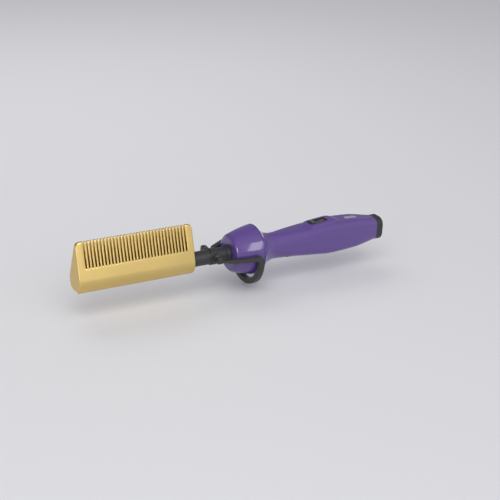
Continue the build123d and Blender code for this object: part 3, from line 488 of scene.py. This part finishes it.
pinSize = {
    # shoulder screw: thread, shank through the arm's eye, domed head with a round socket
    "profile": [
        (6.6, onAxis, 0.01), (6.6, 0.85, 0.1), (9.05, 0.85, 0.05), (9.05, 1.15, 0.05), (14.15, 1.15, 0.05),
        (14.15, 1.8, 0.08), (14.55, 1.7, 0.15), (14.75, 1.1, 0.15), (14.75, 0.6, 0.05), (14.45, 0.5, 0.05),
        (14.45, onAxis, 0.01),
    ],
    "edgeSteps": 4,
}
pinPair = turnedPair("pin", pinSize["profile"], pinSize["edgeSteps"])
dress(joinPieces("standPins", pinPair), "handle", "dark_steel", "stand_pins")

washerSize = {
    "profile": [(9.05, 1.2, 0.1), (9.05, 2.2, 0.1), (9.45, 2.2, 0.1), (9.45, 1.2, 0.1)], "edgeSteps": 3,
}
washerPair = turnedPair("washer", washerSize["profile"], washerSize["edgeSteps"])
dress(joinPieces("standWashers", washerPair), "handle", "steel", "stand_washers")

standSize = {
    "eyeY": 11.8, "armZ": 1.55, "bendX": -149.2, "legY": 21.8, "hoopX": -122.45, "hoopZ": -2.1,
    "footZ": -25.573, "thick": 4.4, "hoopWidth": 4.7, "edge": 0.55, "edgeShare": 0.45,
    "bendRadius": 6.0, "legSetback": 5.5, "cornerRadius": 3.2,
    "lugHalf": 2.2, "lugLow": -1.3, "lugHigh": 3.9, "lugCorner": 0.9, "lugStep": 0.02, "lugClear": 0.2,
    "neckEnd": 6.5, "neckRamp": 2.5, "neckShare": 0.66, "hoopRamp": (-128.0, -123.5),
    # x, lower and upper face of the bar
    "bar": [
        (-155.2, -1.6, 0.2), (-150.0, -1.7, 0.15), (-146.5, -1.65, 0.2), (-143.0, -1.5, 1.2),
        (-140.0, -1.25, 1.55), (-136.0, -0.85, 2.0), (-132.0, -0.35, 2.45), (-128.0, 0.0, 2.8),
        (-118.0, 0.1, 2.9),
    ],
    "crease": 40, "leastStep": 1e-3,
    # rows of each part of the path, and points on each rounded edge of the section
    "lugRows": 7, "bendRows": 10, "armRows": 30, "cornerRows": 14, "hoopRows": 40, "edgeSteps": 6,
}


def arcAt(corner, a, b, radius, steps):
    # arc that touches both runs from the corner, the one towards a and the one towards b
    u, v = (a - corner) / np.linalg.norm(a - corner), (b - corner) / np.linalg.norm(b - corner)
    half = math.acos(float(np.clip(u @ v, -1, 1))) / 2
    reach = radius / math.tan(half)
    middle = corner + (u + v) / np.linalg.norm(u + v) * radius / math.sin(half)
    start, end = (corner + u * reach - middle) / radius, (corner + v * reach - middle) / radius
    return middle + radius * arcBetween(start, end, math.pi - 2 * half, np.linspace(0, 1, steps)[:, None])


def standPath(s):
    # middle line of half of the stand and its mirror image: lug, slim neck, arm, round the bend, down
    # the leg and along the half circle, which is (hoopX, legY cos, hoopZ + legY sin)
    lugFront, bend, nearLeg, armCorner, legTop = np.array([
        (pivot["x"] - s["lugHalf"], -s["eyeY"], s["armZ"]), (s["bendX"], -s["eyeY"], s["armZ"]),
        (s["hoopX"] - s["legSetback"], -s["legY"], s["armZ"]), (s["hoopX"], -s["legY"], s["armZ"]),
        (s["hoopX"], -s["legY"], s["hoopZ"]),
    ])
    rounding = s["lugCorner"] * (1 - np.cos(np.linspace(0, quarterTurn, s["lugRows"])))
    lugLength = 2 * s["lugHalf"]
    lugRows = np.concatenate([rounding, lugLength - rounding[::-1], [lugLength + s["lugStep"]]])
    lug = lugFront + lugRows[:, None] * np.array([1.0, 0, 0])
    bendArc = arcAt(bend, lugFront, nearLeg, s["bendRadius"], s["bendRows"])
    bendArc = bendArc[bendArc[:, 0] > lug[-1, 0] + s["lugClear"]]
    legArc = arcAt(nearLeg, bend, armCorner, s["bendRadius"], s["bendRows"])
    arm = bendArc[-1] + (legArc[0] - bendArc[-1]) * np.linspace(0, 1, s["armRows"])[1:-1, None]
    cornerArc = arcAt(armCorner, nearLeg, legTop, s["cornerRadius"], s["cornerRows"])
    angle = np.linspace(math.pi, 1.5 * math.pi, s["hoopRows"])
    hoopY, hoopZ = s["legY"] * np.cos(angle), s["hoopZ"] + s["legY"] * np.sin(angle)
    hoop = np.stack([0 * angle + s["hoopX"], hoopY, hoopZ], axis=-1)
    path = np.vstack([lug, bendArc, arm, legArc, cornerArc, hoop])
    step = np.linalg.norm(np.diff(path, axis=0), axis=1)
    path = path[np.concatenate([[True], step > s["leastStep"]])]
    return np.vstack([path, path[-2::-1] * np.array([1, -1, 1])])


def buildStand(s):
    # one bar with a rounded rectangular section along the stand's path; on the arm its height follows
    # the side outline: a rounded lug, then a bar that climbs to the hoop
    path = standPath(s)
    tangent = unit(np.gradient(path, axis=0))
    # thickness points away from the tool's axis, height is square to it and to the path
    away = path * np.array([0, 1, 1]) - np.array([0, 0, s["hoopZ"]])
    onArm = (path[:, 2] > s["hoopZ"])[:, None]
    away = np.where(onArm, np.sign(path[:, 1:2]) * np.array([[0, 1.0, 0]]), away)
    away = unit(away - (away * tangent).sum(1, keepdims=True) * tangent)
    tall = unit(np.cross(tangent, away))
    run = path[:, 0] - pivot["x"]
    inLug = run <= s["lugHalf"] + s["lugStep"] / 4
    rounded = roundOver(s["lugCorner"], np.maximum(np.abs(run) - s["lugHalf"] + s["lugCorner"], 0))
    bar = np.array(s["bar"])
    barLow, barHigh = (smoothCurve(bar[:, 0], bar[:, k], path[:, 0]) for k in (1, 2))
    low = np.where(inLug, s["lugLow"] + rounded, barLow)
    high = np.where(inLug, s["lugHigh"] - rounded, barHigh)
    toHoop = smoothStep(*s["hoopRamp"], path[:, 0])
    height = (high - low) * (1 - toHoop) + s["hoopWidth"] * toHoop
    lift = ((high + low) / 2 - s["armZ"]) * (1 - toHoop)
    full = smoothStep(s["neckEnd"], s["neckEnd"] + s["neckRamp"], run)
    atLug = 1 - smoothStep(s["lugHalf"], s["lugHalf"] + s["lugStep"], run)
    thick = s["thick"] * (s["neckShare"] + (1 - s["neckShare"]) * np.maximum(full, atLug))
    corner = np.minimum(s["edge"], height * s["edgeShare"])[:, None]
    a, b = thick[:, None] / 2 - corner, height[:, None] / 2 - corner
    # the section's four quarter rounds in turn
    quarter = np.linspace(0, quarterTurn, s["edgeSteps"])
    signs = ((1, 1), (-1, 1), (-1, -1), (1, -1))
    turns = [(quarter + k * quarterTurn, *sides) for k, sides in enumerate(signs)]
    across = np.concatenate([sideA * a + corner * np.cos(angle) for angle, sideA, _ in turns], axis=1)
    up = np.concatenate([sideB * b + corner * np.sin(angle) for angle, _, sideB in turns], axis=1)
    # on the slim neck the bar keeps to the side of the tool
    across = across - (s["thick"] - thick[:, None]) / 2
    points = path[:, None] + across[..., None] * away[:, None] + up[..., None] * tall[:, None]
    points[..., 2] = np.maximum(points[..., 2] + lift[:, None], s["footZ"])
    return meshFromGrid("stand", points, creaseDegrees=s["crease"])


dress(buildStand(standSize), "stand", "stand", "stand")
print("neck and stand done")

guardSize = {
    "front": -139.0, "seam": -117.6, "frontRadius": 14.1, "seamRadius": 19.57, "bulge": 0.50,
    "opening": 6.72, "openingEdge": 0.25, "shoulder": 3.5, "rimEdge": 0.22,
    "wall": 1.8, "innerShoulder": 2.4, "innerRise": 0.4, "arcRows": 12, "coneRows": 30, "turns": 160,
}


def buildGuard(s):
    # cone between a rounded shoulder and a crisp rim, with an inner wall beside it; it bulges by
    # 4 bulge share (1 - share), where share runs from 0 at the front to 1 at the seam
    wall, steps = s["wall"], s["arcRows"]
    corners = [
        (s["front"], s["opening"]), (s["front"], s["frontRadius"]), (s["seam"], s["seamRadius"]),
        (s["seam"], s["seamRadius"] - wall), (s["front"] + wall, s["frontRadius"] - wall + s["innerRise"]),
        (s["front"] + wall, s["opening"])]
    rounding = [s["openingEdge"], s["shoulder"], s["rimEdge"], sharpEdge, s["innerShoulder"], sharpEdge]
    profile = roundedPath(corners, rounding, steps)
    shoulderEnd, rimStart = profile[2 * steps - 1], profile[2 * steps]
    cone = shoulderEnd + (rimStart - shoulderEnd) * np.linspace(0, 1, s["coneRows"])[1:-1, None]
    profile = np.vstack([profile[:2 * steps], cone, profile[2 * steps:]])
    outer = slice(steps, 2 * steps + len(cone) + 1)
    share = np.clip((profile[outer, 0] - s["front"]) / (s["seam"] - s["front"]), 0, 1)
    onCone = profile[outer, 1] > s["frontRadius"] - s["shoulder"]
    profile[outer, 1] += s["bulge"] * 4 * share * (1 - share) * onCone
    return lathe("heatGuard", profile, s["turns"])


dress(buildGuard(guardSize), "handle", "shell", "heat_guard")

gripSize = {
    # x, half width, top, bottom and corner radius of the grip itself
    "stations": [
        (-104.0, 8.5, 9.3, 9.2, 8.4), (-100.5, 9.75, 9.8, 9.7, 9.1), (-97.0, 10.2, 10.05, 9.9, 8.9),
        (-84.5, 10.6, 10.9, 10.1, 7.4), (-67.0, 11.3, 11.7, 10.8, 5.4),
        (-51.0, 11.6, 13.1, 11.8, 4.9), (-28.0, 10.8, 12.6, 11.0, 5.0), (-6.1, 8.4, 9.9, 8.7, 6.0),
    ],
    # rows of the mesh: how many lie between each of these places and the next
    "rowPlaces": (-117.4, -117.05, -116.2, -103.0, -97.0, -76.0, -42.0, -6.1),
    "rowCounts": (6, 14, 26, 40, 34, 120, 60),
    "seam": -117.4, "rim": 19.6, "rimEnd": -117.0, "rimEdge": 0.35, "rimFade": 0.6, "rimLift": 1.2,
    "waist": 9.9, "waistX": -98.0, "pastWaist": 0.6, "blend": 0.8,
    "wall": 1.8, "innerCorner": 0.8, "leastCorner": 0.5, "cornerRoom": 0.01, "parting": 0.05,
    "partingEdge": 0.08, "partingGap": 0.02, "crease": 30,
    "switchX": -59.0, "bedLength": 27.0, "bedWidth": 11.4, "bedCorner": 4.6, "bedTop": 14.05, "bedSlope": 2.6,
    "bedSetback": 3.0, "bedFront": 0.4, "bedRear": 0.6, "bedTilt": 5.5, "bedEase": 0.8, "bedFall": 1.5,
    "bedBlend": 0.6, "bedSink": 0.03, "bedFrom": 6,
    "windowLow": (-67.12, -3.82), "windowHigh": (-50.88, 3.82), "windowCorner": 1.3, "windowCut": (5, 20),
}


def flareRadius(s, x):
    # rim band with broken edges, then an arc that is level at the waist
    rise, reach = s["rim"] - s["waist"], s["waistX"] - s["rimEnd"]
    radius = (reach**2 + rise**2) / (2 * rise)
    arc = s["waist"] + roundOver(radius, np.clip(s["waistX"] - x, 0, reach))
    edge = s["rimEdge"] * roundOver(1, 1 - np.clip((x - s["seam"]) / s["rimEdge"], 0, 1))
    fromRim = np.clip((x - (s["rimEnd"] - s["rimFade"])) / (2 * s["rimFade"]), 0, 1)
    band = np.minimum(s["rim"] - edge, arc + s["rimLift"] * (1 - fromRim))
    radii = np.where(x < s["rimEnd"] + s["rimFade"], band, arc)
    return np.where(x > s["waistX"], s["waist"] - s["pastWaist"] * (x - s["waistX"]), radii)


def gripStations(s):
    # flare and grip cross near the waist, where the larger one shows; ahead of its first station
    # the grip falls away at the slope it starts with
    knots, places = np.array(s["stations"]), s["rowPlaces"]
    runs = zip(places[:-1], places[1:], s["rowCounts"])
    x = np.unique(np.concatenate([np.linspace(start, end, count) for start, end, count in runs]))
    flare = flareRadius(s, x)
    ahead = np.maximum(knots[0, 0] - x, 0)
    sizes = []
    for k in (1, 2, 3, 4):
        slope = (knots[1, k] - knots[0, k]) / (knots[1, 0] - knots[0, 0])
        grip = smoothCurve(knots[:, 0], knots[:, k], np.maximum(x, knots[0, 0])) - slope * ahead
        sizes.append(smoothMax(flare, grip, s["blend"]))
    halfWidth, top, bottom, corner = sizes
    smallest = np.minimum(halfWidth, np.minimum(top, bottom))
    return x, halfWidth, top, bottom, np.minimum(corner, smallest - s["cornerRoom"])


sectionColumns = {"flank": 4, "corner": 16, "top": 37}


def halfSection(halfWidth, height, corner):
    # upper half of a rounded rectangle, one row per station, from the middle of one side over the top
    # to the other; its first and last column lie on the parting plane
    arc = np.linspace(0, quarterTurn, sectionColumns["corner"])
    a, h, c = (np.asarray(v, float)[:, None] for v in (halfWidth, height, corner))
    rise = np.linspace(0, 1, sectionColumns["flank"] + 1)[None, :-1]
    over = 1 - 2 * np.linspace(0, 1, sectionColumns["top"] + 2)[None, 1:-1]
    flat, side = a - c, h - c
    y = [a + 0 * rise, flat + c * np.cos(arc), flat * over, -flat + c * np.cos(arc + quarterTurn),
         -a + 0 * rise]
    z = [side * rise, side + c * np.sin(arc), h + 0 * over, side + c * np.sin(arc + quarterTurn),
         side * rise[:, ::-1]]
    return np.concatenate(y, axis=1), np.concatenate(z, axis=1)


def bedHeight(s, x, y):
    # bed of the switch, tilted with the grip: full height inside its rounded rectangle, then
    # bed - fall * (distance / slope)^2, where distances beyond the two ends count for less
    ahead = x < s["switchX"]
    overX = np.abs(x - s["switchX"]) - s["bedLength"] / 2 + s["bedCorner"]
    overX = overX + np.where(ahead, s["bedSetback"], 0.0)
    overY = np.abs(y) - s["bedWidth"] / 2 + s["bedCorner"]
    share = np.where(ahead, s["bedFront"], s["bedRear"])
    overX = np.where(overX > s["bedCorner"], s["bedCorner"] + (overX - s["bedCorner"]) * share, overX)
    away = np.hypot(np.maximum(overX, 0), np.maximum(overY, 0)) + np.minimum(np.maximum(overX, overY), 0)
    ease = np.maximum(away - s["bedCorner"] + s["bedEase"], 0) / s["bedSlope"]
    return s["bedTop"] + math.tan(math.radians(s["bedTilt"])) * (x - s["switchX"]) - s["bedFall"] * ease**2


def buildShell(name, s, upper):
    # half of the grip's form from the parting plane round to the other side, with its wall inside;
    # the lower half is the upper section turned by half a turn
    x, a, top, bottom, c = gripStations(s)
    wall, height, sign = s["wall"], top if upper else bottom, 1 if upper else -1
    outerY, outerZ = (sign * v for v in halfSection(a, height, c))
    innerCorner = np.maximum(c - s["innerCorner"] * wall, s["leastCorner"])
    innerY, innerZ = (sign * v for v in halfSection(a - wall, height - wall, innerCorner))
    if upper:
        bed = bedHeight(s, x[:, None], outerY)
        raised = smoothMax(outerZ, bed, s["bedBlend"]) - s["bedSink"]
        outerZ = np.where(outerZ > s["bedFrom"], raised, outerZ)
    # parting edges: a small chamfer on the outer corner, then flat across the wall
    outerZ[:, [0, -1]] = s["partingEdge"] * sign
    innerZ[:, [0, -1]] = s["partingGap"] * sign
    groove, gap = s["parting"] * sign, np.full((len(x), 1), s["partingGap"] * sign)
    y = np.concatenate([outerY[:, :1] - groove, outerY, outerY[:, -1:] + groove, innerY[:, ::-1]], axis=1)
    z = np.concatenate([gap, outerZ, gap, innerZ[:, ::-1]], axis=1)
    points = sectionsAlong(x, y, z)
    rows, columns = y.shape
    faces = gridQuads(rows, columns)
    # end faces: strips between the outer and the inner run
    half = np.arange(outerY.shape[1] + 2)
    inner = columns - 1 - np.clip(half - 1, 0, innerY.shape[1] - 1)
    strip = np.stack([half[:-1], half[1:], inner[1:], inner[:-1]], axis=-1)
    for row, order in ((0, 1), (rows - 1, -1)):
        corners = (dict.fromkeys(quad) for quad in (strip[:, ::order] + row * columns).tolist())
        faces += [list(face) for face in corners if len(face) > 2]
    return meshFromFaces(name, points.reshape(-1, 3), faces, s["crease"])


gripTop = buildShell("gripTop", gripSize, True)
window = roundedRectangle(gripSize["windowLow"], gripSize["windowHigh"], gripSize["windowCorner"])
cutAway(gripTop, prism("windowCutter", window, *gripSize["windowCut"]), gripSize["crease"])
dress(gripTop, "handle", "shell", "grip_top")

recessSize = {
    "radius": 2.5, "wall": 0.5, "seat": -6.0, "proud": 0.08, "lip": 0.15, "hole": 2.55,
    "holeCut": (-20, -5), "steps": 48, "rimLimit": 0.995,
    "places": [(-90.9, -6.2), (-90.9, 6.2), (-18.9, 0.0)],
}


def buildRecess(s, g, x, y):
    # cup round a screw head whose rim follows the underside: the underside at (x, y) is
    # -(bottom - corner) - sqrt(corner^2 - (|y| - halfWidth + corner)^2)
    knots = np.array(g["stations"])
    cup, floor = s["radius"] + s["wall"], s["seat"] + s["wall"]
    rows = []
    for radius, onRim in ((cup, False), (cup, True), (s["radius"], True), (s["radius"], False)):
        px, py = circle(radius, s["steps"], x, y).T
        a, b, c = (smoothCurve(knots[:, 0], knots[:, k], px) for k in (1, 3, 4))
        over = np.clip(np.abs(py) - a + c, 0, c * s["rimLimit"])
        underside = -(b - c) - np.sqrt(c**2 - over**2) + s["proud"]
        level = np.full(s["steps"], floor if radius == cup else s["seat"])
        rows.append(np.stack([px, py, underside if onRim else level], axis=-1))
    rows[1][:, 2] = np.minimum(rows[1][:, 2] + s["lip"], floor)
    return meshFromGrid("recess", np.array(rows))


gripBottom = buildShell("gripBottom", gripSize, False)
for place in recessSize["places"]:
    hole = circle(recessSize["hole"], recessSize["steps"], *place)
    cutAway(gripBottom, prism("holeCutter", hole, *recessSize["holeCut"]), gripSize["crease"])
recesses = [buildRecess(recessSize, gripSize, *place) for place in recessSize["places"]]
dress(joinPieces("gripBottom", [gripBottom, *recesses]), "handle", "shell", "grip_bottom")
print("guard and grip done")

switchSize = {
    "x": -59.0, "pivotZ": 11.8, "tilt": 5.0, "length": 16.0, "width": 7.4, "corner": 1.2,
    "top": 14.4, "floor": 3.4, "wall": 0.8, "innerRise": 1.2, "rimOuter": 0.35, "rimInner": 0.25,
    "cornerSteps": 8, "edgeSteps": 5, "crease": 35,
}


def tiltAbout(x, z, degrees, pivotX, pivotZ):
    # (x, z) measured from the pivot, turned by the tilt: (x cos - z sin, x sin + z cos) from the pivot
    c, s = math.cos(math.radians(degrees)), math.sin(math.radians(degrees))
    return pivotX + (x * c - z * s), pivotZ + (x * s + z * c)


def buildSwitchFrame(s):
    # rim profile carried round a rounded rectangle: outer wall, rounded rim, inner wall; the profile
    # moves out along the outline's normal, which is square to the line between a point's neighbours
    half = np.array([s["length"], s["width"]]) / 2
    plan = roundedRectangle(-half, half, s["corner"], s["cornerSteps"])
    chord = np.roll(plan, -1, axis=0) - np.roll(plan, 1, axis=0)
    normal = unit(np.stack([chord[:, 1], -chord[:, 0]], axis=-1))
    normal *= np.sign((normal * plan / half).sum(1, keepdims=True))
    rim = roundedPath(
        [(0, s["floor"]), (0, s["top"]), (-s["wall"], s["top"]), (-s["wall"], s["floor"] + s["innerRise"])],
        [sharpEdge, s["rimOuter"], s["rimInner"], sharpEdge], s["edgeSteps"])
    flat = plan[:, None] + normal[:, None] * rim[None, :, :1]
    up = np.broadcast_to(rim[None, :, 1] - s["pivotZ"], flat.shape[:2])
    x, z = tiltAbout(flat[..., 0], up, s["tilt"], s["x"], s["pivotZ"])
    points = np.stack([x, flat[..., 1], z], axis=-1)
    return meshFromGrid("switchFrame", points.transpose(1, 0, 2), creaseDegrees=s["crease"])


dress(buildSwitchFrame(switchSize), "handle", "black_plastic", "switch_body")

rockerSize = {
    "x": -59.0, "z": 11.8, "tilt": -4.0, "half": 6.55, "width": 5.2, "rise": 2.8, "valley": 1.35,
    "edge": 0.45, "straight": 0.35, "crown": 1.4, "depth": 3.4, "flankRow": 0.6,
    "keelFrom": 0.45, "keelEnd": 0.6, "rows": 61, "edgeSteps": 7, "crease": 35,
    # across the middle of the top: distance from the middle, drop
    "middle": [(1.3, 0.04), (0.6, 0.06), (0.0, 0.07)],
}


def buildRocker(s):
    # two gently crowned pads that meet in a valley over the pivot: the top is
    # valley + (rise - valley) * (straight * u + (1 - straight) * sin(u * 90 degrees)^crown);
    # ends and sides are rounded over and drop to a narrow keel
    along = np.linspace(-1, 1, s["rows"])
    x, share = s["half"] * along, np.abs(along)
    pad = s["straight"] * share + (1 - s["straight"]) * np.sin(share * quarterTurn) ** s["crown"]
    topZ = s["valley"] + (s["rise"] - s["valley"]) * pad
    topZ -= roundOver(s["edge"], np.maximum(np.abs(x) - (s["half"] - s["edge"]), 0))
    keelRun = np.clip((share - s["keelFrom"]) / (1 - s["keelFrom"]), 0, 1)
    keel = -s["depth"] + (s["depth"] - s["keelEnd"]) * keelRun
    halfWidth, arc = s["width"] / 2, np.linspace(0, quarterTurn, s["edgeSteps"])
    middleY, middleDrop = np.array(s["middle"]).T
    # across the half width: keel, flank, rounded edge, then nearly level to the middle
    sideY = np.concatenate([[halfWidth, halfWidth], halfWidth - s["edge"] + s["edge"] * np.cos(arc), middleY])
    drop = np.concatenate([[0, 0], -s["edge"] + s["edge"] * np.sin(arc), middleDrop])
    topShare = np.concatenate([[0.0, s["flankRow"]], np.ones(len(arc) + len(middleY))])
    zHalf = keel[:, None] * (1 - topShare) + (topZ[:, None] + drop) * topShare
    yHalf = np.repeat(sideY[None], len(x), axis=0)
    y = np.concatenate([yHalf, -yHalf[:, -2::-1]], axis=1)
    z = np.concatenate([zHalf, zHalf[:, -2::-1]], axis=1)
    turnedX, turnedZ = tiltAbout(np.broadcast_to(x[:, None], y.shape), z, s["tilt"], s["x"], s["z"])
    return meshFromGrid("rocker", np.stack([turnedX, y, turnedZ], axis=-1), creaseDegrees=s["crease"])


dress(buildRocker(rockerSize), "rocker", "switch", "rocker")

lensSize = {
    "x": -27.8, "length": 11.5, "width": 4.4, "low": 8.0, "sunk": 0.05, "steps": 64, "crease": 40,
    # rings from the outline to the middle: share of the radius, height above the grip
    "rings": [(1.0, 0.0), (1.0, 0.05), (0.96, 0.14), (0.88, 0.18), (0.7, 0.21), (0.4, 0.23), (0.1, 0.24)],
}


def buildLens(s):
    # stadium in plan, domed on top, following the slope of the grip
    knots = np.array(gripSize["stations"])
    radius, half = s["width"] / 2, (s["length"] - s["width"]) / 2
    planX, planY = circle(radius, s["steps"]).T
    planX = planX + half * np.sign(planX)
    scale, raised = np.array(s["rings"]).T[:, :, None]
    x = s["x"] + planX - np.sign(planX) * radius * (1 - scale)
    y = planY * scale
    z = smoothCurve(knots[:, 0], knots[:, 2], x) + raised - s["sunk"]
    z[0] = s["low"]
    return meshFromGrid("indicatorLens", np.stack([x, y, z], axis=-1), creaseDegrees=s["crease"])


dress(buildLens(lensSize), "handle", "lens", "indicator_lens")

capSize = {
    "front": -6.0, "straightFrom": -5.0, "halfWidth": 8.4, "top": 9.9, "bottom": 8.7, "corner": 6.0,
    "edge": 1.0, "leastCorner": 1.0, "sideRows": 8, "edgeRows": 8, "crease": 35,
    # distance from the front and how far the outline is drawn in there
    "frontEdge": [(0.0, 0.2), (0.12, 0.1), (0.2, 0.0)],
    # rings across the rear face and down the bore: x, radius
    "bore": [(0.0, 5.35), (-0.3, 5.0), (-2.5, 5.0), (-2.5, 0.4)],
}


def buildCap(s):
    # rounded rectangle along X, drawn in at both ends, then across the rear face to the round bore
    frontX, frontIn = np.array(s["frontEdge"]).T
    straight = np.linspace(s["straightFrom"], -s["edge"], s["sideRows"])
    quarter = np.linspace(0, quarterTurn, s["edgeRows"])[1:]
    x = np.concatenate([s["front"] + frontX, straight, s["edge"] * np.sin(quarter) - s["edge"]])
    inset = np.concatenate([frontIn, 0 * straight, s["edge"] * (1 - np.cos(quarter))])
    halfWidth, corner = s["halfWidth"] - inset, np.maximum(s["corner"] - inset, s["leastCorner"])
    halves = [sign * np.array(halfSection(halfWidth, s[side] - inset, corner))[..., :-1]
              for sign, side in ((1, "top"), (-1, "bottom"))]
    y, z = np.concatenate(halves, axis=-1)
    angle = np.arctan2(z[-1], y[-1])
    boreX, boreRadius = np.array(s["bore"]).T
    rings = sectionsAlong(boreX, boreRadius[:, None] * np.cos(angle), boreRadius[:, None] * np.sin(angle))
    points = np.concatenate([sectionsAlong(x, y, z), rings], axis=0)
    return meshFromGrid("endCap", points, creaseDegrees=s["crease"])


dress(buildCap(capSize), "handle", "cap", "end_cap")

glandSize = {
    # x, radius and rounding of the turning inlet: tube, flange behind the cap's wall, and rear boss
    "profile": [
        (-12.6, 2.75, 0.1), (-12.6, 3.7, 0.2), (-4.65, 3.7, 0.1), (-4.65, 5.7, 0.2), (-2.65, 5.7, 0.2),
        (-2.65, 4.9, 0.1), (-0.02, 4.9, 0.5), (-0.02, 2.75, 0.5),
    ],
    "edgeSteps": 5, "turns": 72,
}
glandProfile = np.array(glandSize["profile"])
glandOutline = roundedPath(glandProfile[:, :2], glandProfile[:, 2], glandSize["edgeSteps"])
gland = lathe("cordGland", glandOutline, glandSize["turns"])
dress(gland, "swivel", "black_plastic", "swivel_gland")
print("switch, lens and cap done")

floorSize = {"z": -29.0, "half": 3000.0, "colour": (0.78, 0.78, 0.79), "roughness": 0.85}


def buildFloor(s):
    # one square under the tool
    half, z = s["half"] * millimetre, s["z"] * millimetre
    mesh = bpy.data.meshes.new("floor")
    corners = [(-half, -half, z), (half, -half, z), (half, half, z), (-half, half, z)]
    mesh.from_pydata(corners, [], [(0, 1, 2, 3)])
    mesh.materials.append(newMaterial("floorPaint", s["colour"], s["roughness"])[0])
    floor = bpy.data.objects.new("floor", mesh)
    scene.collection.objects.link(floor)
    return floor


buildFloor(floorSize)

skySize = {"near": (0.88, 0.88, 0.90), "far": (0.30, 0.30, 0.34), "from": -0.35, "to": 0.45, "strength": 0.85}


def buildWorld(s):
    # even sky that is bright on the near side and falls off to the far side, so that gloss
    # seen at a low angle stays quiet: colour = mix(near, far, step of the direction's y)
    world = bpy.data.worlds.new("studio")
    scene.world = world
    world.use_nodes = True
    tree = world.node_tree
    direction = tree.nodes.new("ShaderNodeTexCoord")
    split = tree.nodes.new("ShaderNodeSeparateXYZ")
    tree.links.new(direction.outputs["Generated"], split.inputs["Vector"])
    share = remap(tree, split.outputs["Y"], s["from"], s["to"], 0.0, 1.0)
    background = tree.nodes["Background"]
    tree.links.new(mixColours(tree, share, s["near"], s["far"]), background.inputs["Color"])
    background.inputs["Strength"].default_value = s["strength"]


buildWorld(skySize)

# "panel" and "side" are seen only as reflections in the gloss, "key" and "rim" only light
lamps = {
    "key": {"place": (-500, -700, 900), "target": (-130, 0, 0), "size": (1.2, 1.2), "power": 6,
            "glossy": False},
    "rim": {"place": (-100, 700, 700), "target": (-130, 0, 0), "size": (0.9, 0.5), "power": 2,
            "glossy": False},
    "panel": {"place": (-70, -537, 370), "target": (-122, -16, 9), "size": (0.13, 0.42), "power": 0.72,
              "diffuse": False, "roll": 0.18},
    "side": {"place": (-733, -262, 201), "target": (-138, -12, 7), "size": (0.22, 0.30), "power": 1.6,
             "diffuse": False},
}


def placeHolder(name, data, right, up, back, place, roll):
    # puts a lamp or camera at its place, with its right and up turned about its own axis by the roll
    holder = bpy.data.objects.new(name, data)
    scene.collection.objects.link(holder)
    pose = np.eye(4)
    pose[:3, 0] = right * math.cos(roll) + up * math.sin(roll)
    pose[:3, 1] = up * math.cos(roll) - right * math.sin(roll)
    pose[:3, 2], pose[:3, 3] = back, place
    holder.matrix_world = Matrix(pose.tolist())
    return holder


def addLamp(name, s):
    # a rectangle that faces its target
    lamp = bpy.data.lights.new(name, "AREA")
    lamp.shape = "RECTANGLE"
    lamp.size, lamp.size_y = s["size"]
    lamp.energy = s["power"]
    place, target = (np.array(s[end]) * millimetre for end in ("place", "target"))
    back = (place - target) / np.linalg.norm(place - target)
    side = np.cross([0, 0, 1], back)
    side /= np.linalg.norm(side)
    holder = placeHolder(name, lamp, side, np.cross(back, side), back, place, -s.get("roll", 0.0))
    holder.visible_glossy = s.get("glossy", True)
    holder.visible_diffuse = s.get("diffuse", True)


for lampName, lampSize in lamps.items():
    addLamp(lampName, lampSize)

cameraPose = {
    "place": (-581.852, -760.251, 371.780), "azimuth": 0.54645, "elevation": -0.39630, "roll": 0.05159,
    "lens": 90.45, "sensor": 36, "clipStart": 0.01,
}


def addCamera(s):
    # looks along (cos e sin a, cos e cos a, sin e) for azimuth a and elevation e
    a, e = s["azimuth"], s["elevation"]
    forward = np.array([math.cos(e) * math.sin(a), math.cos(e) * math.cos(a), math.sin(e)])
    right = np.cross(forward, [0, 0, 1])
    right /= np.linalg.norm(right)
    data = bpy.data.cameras.new("camera")
    data.lens = s["lens"]
    data.sensor_width = s["sensor"]
    data.clip_start = s["clipStart"]
    place = np.array(s["place"]) * millimetre
    scene.camera = placeHolder("camera", data, right, np.cross(right, forward), -forward, place, s["roll"])


addCamera(cameraPose)
scene.view_settings.view_transform = "Standard"

bpy.context.view_layer.update()
